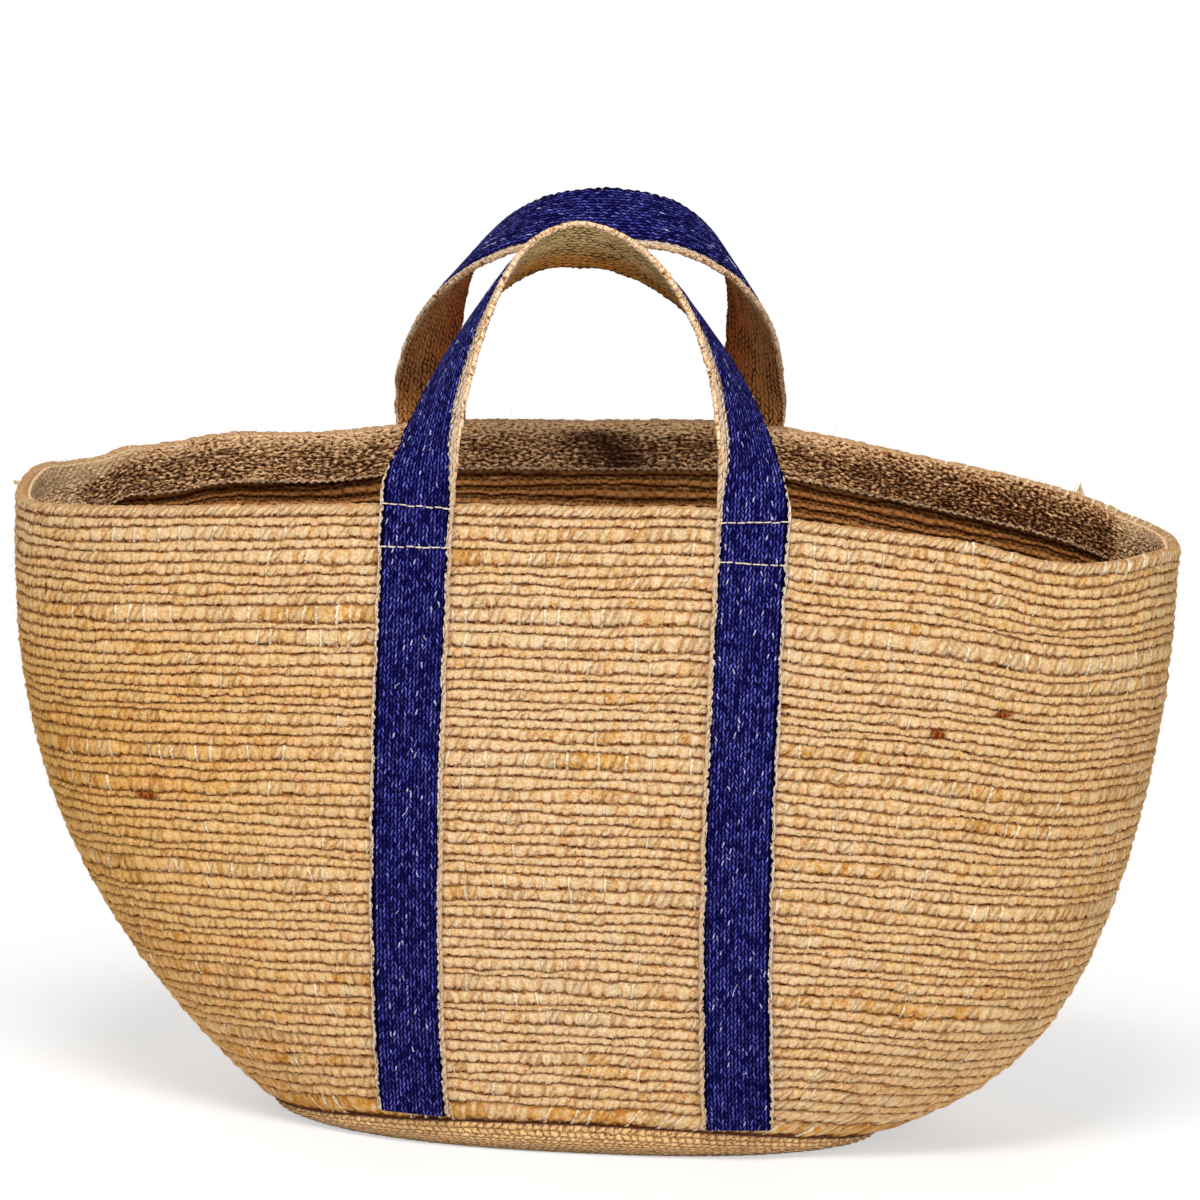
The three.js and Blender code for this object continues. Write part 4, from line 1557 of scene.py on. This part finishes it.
# A thread's place is read off a grid of points that lies over the band
def makeLooseThreads(label, loop, path):
    rng = np.random.default_rng(looseThread["seed"] + loop["side"])
    count, steps, rows = looseThread["count"], looseThread["steps"], len(path.along)
    columns = np.linspace(-14, 13, looseThread["columns"])
    grid = path.points(np.tile(columns, (rows, 1)), np.full((rows, len(columns)), looseThread["height"]))
    onTop = np.arange(count) < looseThread["nearTop"]
    middle = np.where(onTop, rng.normal(0.45, 0.035, count), rng.uniform(0.02, 0.98, count))[:, None]
    length = looseThread["shortest"] + rng.exponential(looseThread["meanExtra"], count)
    length = np.minimum(length, looseThread["longest"])[:, None]
    t = np.linspace(-0.5, 0.5, steps)
    heading = rng.uniform(-0.9, 0.9, (count, 1))
    bend = rng.normal(0, 0.16, (count, 1)) * length
    along = middle * path.total + length * t * np.cos(heading) + bend * np.sin(5 * t)
    across = rng.uniform(-11, 10, (count, 1)) + length * t * np.sin(heading) + bend * np.cos(6 * t)
    row = np.interp(along, path.along, np.arange(rows))
    column = np.interp(across, columns, np.arange(len(columns)))
    i, j = np.minimum(row.astype(int), rows - 2), np.minimum(column.astype(int), len(columns) - 2)
    down, side = (row - i)[..., None], (column - j)[..., None]
    upper, lower = (mix(grid[k, j], grid[k, j + 1], side) for k in (i, i + 1))
    radii = looseThread["radius"] * rng.uniform(0.7, 1.2, (count, 1)) * np.ones(steps)
    points, blocks = threadMesh(mix(upper, lower, down), radii, 5)
    piece = makePiece(f"{label}_loose_threads", points, blocks, looseThreadMaterial)
    bendAtRim(piece, loop)


def makeLooseThreadMaterial():
    material, tree = newMaterial("looseWhiteThread", 0.8)
    grain = objectPlace(tree).noise(900.0)
    return dress(material, grain.rise(0.35, 0.65).blend(looseThread["dark"], looseThread["light"]))


looseThreadMaterial = makeLooseThreadMaterial()
loops = {"front": frontLoop, "back": backLoop}
straps = {label: makeStrap(label, loop) for label, loop in loops.items()}
for label, (path, *strapPieces) in straps.items():
    makeLooseThreads(label, loops[label], path)
    print(label, "strap: faces", [len(piece.data.polygons) for piece in strapPieces])


# Cream stitching across the straps

stitching = {
    "rimDrop": 0.6,
    "lowerDrop": 21.0,
    "pitch": 4.3,
    "dash": 4.3,
    "radius": 0.36,
    "lift": 2.05,
    "dip": 1.2,
    "sides": 6,
    "steps": 9,
    "unevenTurn": 0.05,
    "unevenHeight": 0.15,
    "dark": (176, 156, 128),
    "light": (238, 222, 196),
    "seed": 61,
}

# How many millimetres each line of stitching rises over the webbing's width
stitchSlopes = {"left_rim": -0.8, "left_lower": 1.6, "right_rim": 2.0, "right_lower": -0.6}


def makeThreadMaterial():
    material, tree = newMaterial("creamThread", 0.75, 0.1)
    grain = fibresAt(placeInMillimetres(tree), 0.8, 0.3)["Grain"]
    return dress(material, grain.rise(0.3, 0.7).blend(stitching["dark"], stitching["light"]), grain, 0.2)


threadMaterial = makeThreadMaterial()


# Each stitch is a short thread that arches over the band and dips in at both ends
def makeStitchLine(rng, side, leg, legName, line, drop):
    count = int((strap["bandTo"] - strap["bandFrom"] - 1) / stitching["pitch"]) + 1
    middles = (np.arange(count) - (count - 1) / 2) * stitching["pitch"] + rng.normal(0, 0.2, count)
    lengths = stitching["dash"] * rng.uniform(0.85, 1.08, count)
    step = np.linspace(-0.5, 0.5, stitching["steps"])
    across = middles[:, None] + lengths[:, None] * step
    slope = stitchSlopes[f"{legName}_{line}"] / strap["width"]
    tilt = rng.normal(0, stitching["unevenTurn"], (count, 1)) * lengths[:, None] * step
    height = strapTop - drop + across * slope + tilt + rng.normal(0, stitching["unevenHeight"], (count, 1))
    arch = 1 - (2 * np.abs(step)) ** 4
    outward = stitching["dip"] + (stitching["lift"] - stitching["dip"]) * arch + np.zeros_like(across)
    x = legCentre(leg, height) + across - 0.5 * side * leg
    paths = np.stack([x, side * (wallReach(side, x, height) + strapMiddle + outward), height], -1)
    radii = stitching["radius"] * (0.75 + 0.25 * arch) * rng.uniform(0.9, 1.1, (count, 1))
    return threadMesh(paths, radii, stitching["sides"])


# Two lines of stitches across each leg
def makeStitching():
    rng = np.random.default_rng(stitching["seed"])
    drops = {"rim": stitching["rimDrop"], "lower": stitching["lowerDrop"]}
    for sideName, side in (("front", -1), ("back", 1)):
        for legName, leg in (("left", -1), ("right", 1)):
            for line, drop in drops.items():
                points, blocks = makeStitchLine(rng, side, leg, legName, line, drop)
                node = f"{sideName}_{legName}_{line}_stitch"
                piece = makePiece(node + "_thread", points, blocks, threadMaterial)
                placeOnBasket(piece, node)


makeStitching()
print("stitching done")


# Loose fibres that stand off the rope

fibre = {
    "onWall": 5600,
    "onRim": 900,
    "longest": 6.5,
    "radius": 0.075,
    "steps": 4,
    "sides": 3,
    "curl": 0.45,
    "droop": 0.15,
    "dark": (204, 160, 96),
    "light": (252, 234, 196),
    "seed": 71,
}


def makeFibreMaterial():
    material, tree = newMaterial("looseFibre", 0.8)
    return dress(material, storedValue(tree, "tone").blend(fibre["dark"], fibre["light"]))


# Each fibre starts on the rope, leaves it at a slant, curls to one side, droops and thins to its tip
def makeLooseFibres():
    rng = np.random.default_rng(fibre["seed"])
    count = fibre["onWall"] + fibre["onRim"]
    angle = middleRing.angleAt(rng.uniform(0, middleRing.total, count))
    height = np.concatenate([rng.uniform(0.01, 0.99, fibre["onWall"]), np.ones(fibre["onRim"])])
    z = mix(seamHeightAt(angle), rimHeightAt(angle) - 0.8, height)
    depth = np.where(height < 1, 0.5, rng.uniform(0.5, 4.5, count))
    base = insideWall(angle, z, depth)
    out = wallNormal(angle, z)
    out[height == 1] = unit(out[height == 1] * 0.6 + np.array([0, 0, 1.0]))
    along = unit(plainWall(angle + turnStep, z) - plainWall(angle - turnStep, z))
    upward = np.cross(out, along)
    spread = rng.normal(0, 1, (3, count, 1))
    sideways = along * spread[0] * 0.9 + upward * spread[1] * 0.5
    heading = unit(out * rng.uniform(0.2, 1.0, (count, 1)) + sideways)
    curl = unit(along * spread[1] + upward * spread[2] + out * 0.4)
    length = np.minimum(1.2 + rng.exponential(1.4, count), fibre["longest"])[:, None, None]
    t = np.linspace(0, 1, fibre["steps"])[None, :, None]
    paths = base[:, None] + length * (heading[:, None] * t + fibre["curl"] * curl[:, None] * t ** 2)
    paths[..., 2] -= fibre["droop"] * (length * t ** 2)[..., 0]
    paths[..., 2] = np.maximum(paths[..., 2], 0.3)
    radii = fibre["radius"] * rng.uniform(0.6, 1.3, (count, 1)) * (1 - 0.7 * t[..., 0])
    points, blocks = threadMesh(paths, radii, fibre["sides"])
    tone = np.repeat(rng.random(count), fibre["steps"] * fibre["sides"])
    piece = makePiece("loose_fibres", points, blocks, makeFibreMaterial(), {"tone": tone})
    placeOnBasket(piece)
    return piece


fibrePiece = makeLooseFibres()
print("loose fibres: faces", len(fibrePiece.data.polygons))


# Two loose ends on the rim: a tuft at the back right, and the end of a yarn at the left
looseEnds = {
    "tuftX": 245.0,
    "tuftHeight": 5.5,
    "tuftSpread": 2.6,
    "tuftThreads": 14,
    "yarnStart": (-285.0, 34.0, 301.5),
    "yarnReach": (-8.5, -3.0, 1.6),
    "yarnStrands": 3,
    "yarnRadius": 0.62,
    "steps": 12,
    "sides": 6,
    "seed": 83,
}


def makeLooseEnds():
    rng = np.random.default_rng(looseEnds["seed"])
    steps, sides = looseEnds["steps"], looseEnds["sides"]
    t = np.linspace(0, 1, steps)[None, :, None]
    angles = np.linspace(0.02, np.pi / 2, 2000)
    fromTuft = np.abs(plainWall(angles, rimHeightAt(angles))[:, 0] - looseEnds["tuftX"])
    angle = angles[[np.argmin(fromTuft)]]
    foot = insideWall(angle, rimHeightAt(angle) - 0.8, np.array([2.6]))[0]
    count = looseEnds["tuftThreads"]
    roots = foot + rng.normal(0, 1, (count, 3)) * [looseEnds["tuftSpread"], 1.0, 0.2]
    tips = foot + rng.normal(0, 0.6, (count, 3)) + [0, 0, looseEnds["tuftHeight"]]
    tuft = roots[:, None] * (1 - t) + tips[:, None] * t + rng.normal(0, 0.8, (count, 1, 3)) * t * (1 - t)
    tuftRadii = 0.3 * (1 - 0.7 * t[..., 0]) * np.ones((count, 1))

    strands = looseEnds["yarnStrands"]
    turn = 2 * np.pi * (1.6 * t[..., 0] + np.arange(strands)[:, None] / strands)
    around = np.stack([np.zeros_like(turn), np.cos(turn), np.sin(turn)], -1) * looseEnds["yarnRadius"]
    strandPaths = np.array(looseEnds["yarnStart"]) + np.array(looseEnds["yarnReach"]) * t + around
    yarnRadii = looseEnds["yarnRadius"] * (1 - 0.35 * t[..., 0] ** 3) * np.ones((strands, 1))
    paths, radii = np.concatenate([tuft, strandPaths]), np.concatenate([tuftRadii, yarnRadii])
    points, blocks = threadMesh(paths, radii, sides)
    tone = np.repeat(rng.uniform(0.0, 0.5, count + strands), steps * sides)
    piece = makePiece("loose_yarn_ends", points, blocks, fibrePiece.data.materials[0], {"tone": tone})
    placeOnBasket(piece)


makeLooseEnds()
print("loose yarn ends done")


# Floor, light and camera

studio = {
    "floorHalfSize": 6.0,
    "floorColour": (253, 252, 251),
    "floorShade": (248, 247, 245),
    "whiteFrom": 0.25,
    "whiteTo": 0.6,
    "shadowLift": 0.55,
    "worldLevel": 0.4,
    "lampAim": (0.0, 0.0, 0.2),
    "cameraDistance": 5.0,
    "cameraRise": 10.7,
    "cameraRoll": 2.8,
    "lens": 300.0,
    "sensor": 36.0,
    "target": (0.0, 0.0, 0.230),
    "aimRight": 0.0047,
    "aimUp": 0.0325,
}

plainWhite = (1.0, 1.0, 1.0, 1.0)

# Lamps: where, how wide, how many watts
lamps = [
    ("backLamp", (-1.4, 3.2, 1.6), 2.6, 34.0),
    ("keyLamp", (-0.4, -2.1, 3.3), 1.3, 117.0),
    ("fillLamp", (1.4, -3.0, 0.7), 2.2, 45.0),
]


# The floor takes the object's shadow close by, and turns to plain white further off where the
# camera sees it directly; light that bounces from it is that of a pale matt floor everywhere.
def makeFloor():
    half = studio["floorHalfSize"] / millimetre
    points = np.array([[-half, -half, 0], [half, -half, 0], [half, half, 0], [-half, half, 0]], float)
    material, tree = newMaterial("paleFloor", 0.95)
    place = objectPlace(tree)
    clouds = place.noise(3.0).rescale(0.3, 0.7, 0.0, 1.0)
    dress(material, clouds.blend(studio["floorColour"], studio["floorShade"]))
    distance = wireFrom("ShaderNodeVectorMath", {"operation": "LENGTH"}, {0: place}, "Value")
    far = distance.rise(studio["whiteFrom"], studio["whiteTo"])
    seen = Wire(tree, tree.nodes.new("ShaderNodeLightPath").outputs["Is Camera Ray"])
    share = seen * far.rescale(0.0, 1.0, studio["shadowLift"], 1.0)
    matt = Wire(tree, tree.nodes["Principled BSDF"].outputs[0])
    glow = addNode(tree, "ShaderNodeEmission", {}, {"Color": plainWhite, "Strength": 1.0})
    mixed = addNode(tree, "ShaderNodeMixShader", {}, {0: share, 1: matt, 2: Wire(tree, glow.outputs[0])})
    tree.links.new(mixed.outputs[0], tree.nodes["Material Output"].inputs["Surface"])
    makePiece("floor", points, [(np.array([[0, 1, 2, 3]]), None)], material)


# An even pale sky that is white where it is seen, and three lamps that look at the basket
def makeLight():
    world = bpy.data.worlds.new("studioWorld")
    bpy.context.scene.world = world
    world.use_nodes = True
    tree = world.node_tree
    background = tree.nodes["Background"]
    rays = tree.nodes.new("ShaderNodeLightPath").outputs
    kinds = ("Camera", "Glossy", "Transmission")
    camera, glossy, clear = (Wire(tree, rays[f"Is {kind} Ray"]) for kind in kinds)
    strength = mix(studio["worldLevel"], 1.0, larger(camera, larger(glossy, clear)))
    tree.links.new(strength.socket, background.inputs["Strength"])
    background.inputs["Color"].default_value = plainWhite
    for name, place, size, power in lamps:
        lamp = bpy.data.lights.new(name, "AREA")
        lamp.size, lamp.energy = size, power
        made = bpy.data.objects.new(name, lamp)
        made.location = place
        facingAim = Vector(studio["lampAim"]) - Vector(place)
        made.rotation_euler = facingAim.to_track_quat("-Z", "Y").to_euler()
        bpy.context.scene.collection.objects.link(made)


# The camera looks at the basket from a little above, turned slightly as the photograph was taken
def makeCamera():
    rise, roll = math.radians(studio["cameraRise"]), math.radians(studio["cameraRoll"])
    target = Vector(studio["target"])
    place = target + studio["cameraDistance"] * Vector((0, -math.cos(rise), math.sin(rise)))
    right, upward = Vector((1, 0, 0)), Vector((0, math.sin(rise), math.cos(rise)))
    rolledRight = right * math.cos(roll) + upward * math.sin(roll)
    rolledUp = upward * math.cos(roll) - right * math.sin(roll)
    aim = target + rolledRight * studio["aimRight"] + rolledUp * studio["aimUp"]
    backward = (place - aim).normalized()
    side = rolledUp.cross(backward).normalized()
    camera = bpy.data.cameras.new("photoCamera")
    camera.lens, camera.sensor_width = studio["lens"], studio["sensor"]
    made = bpy.data.objects.new("photoCamera", camera)
    turned = Matrix((side, backward.cross(side), backward)).transposed().to_4x4()
    made.matrix_world = Matrix.Translation(place) @ turned
    bpy.context.scene.collection.objects.link(made)
    bpy.context.scene.camera = made


makeFloor()
makeLight()
makeCamera()
bpy.context.scene.view_settings.view_transform = "Standard"
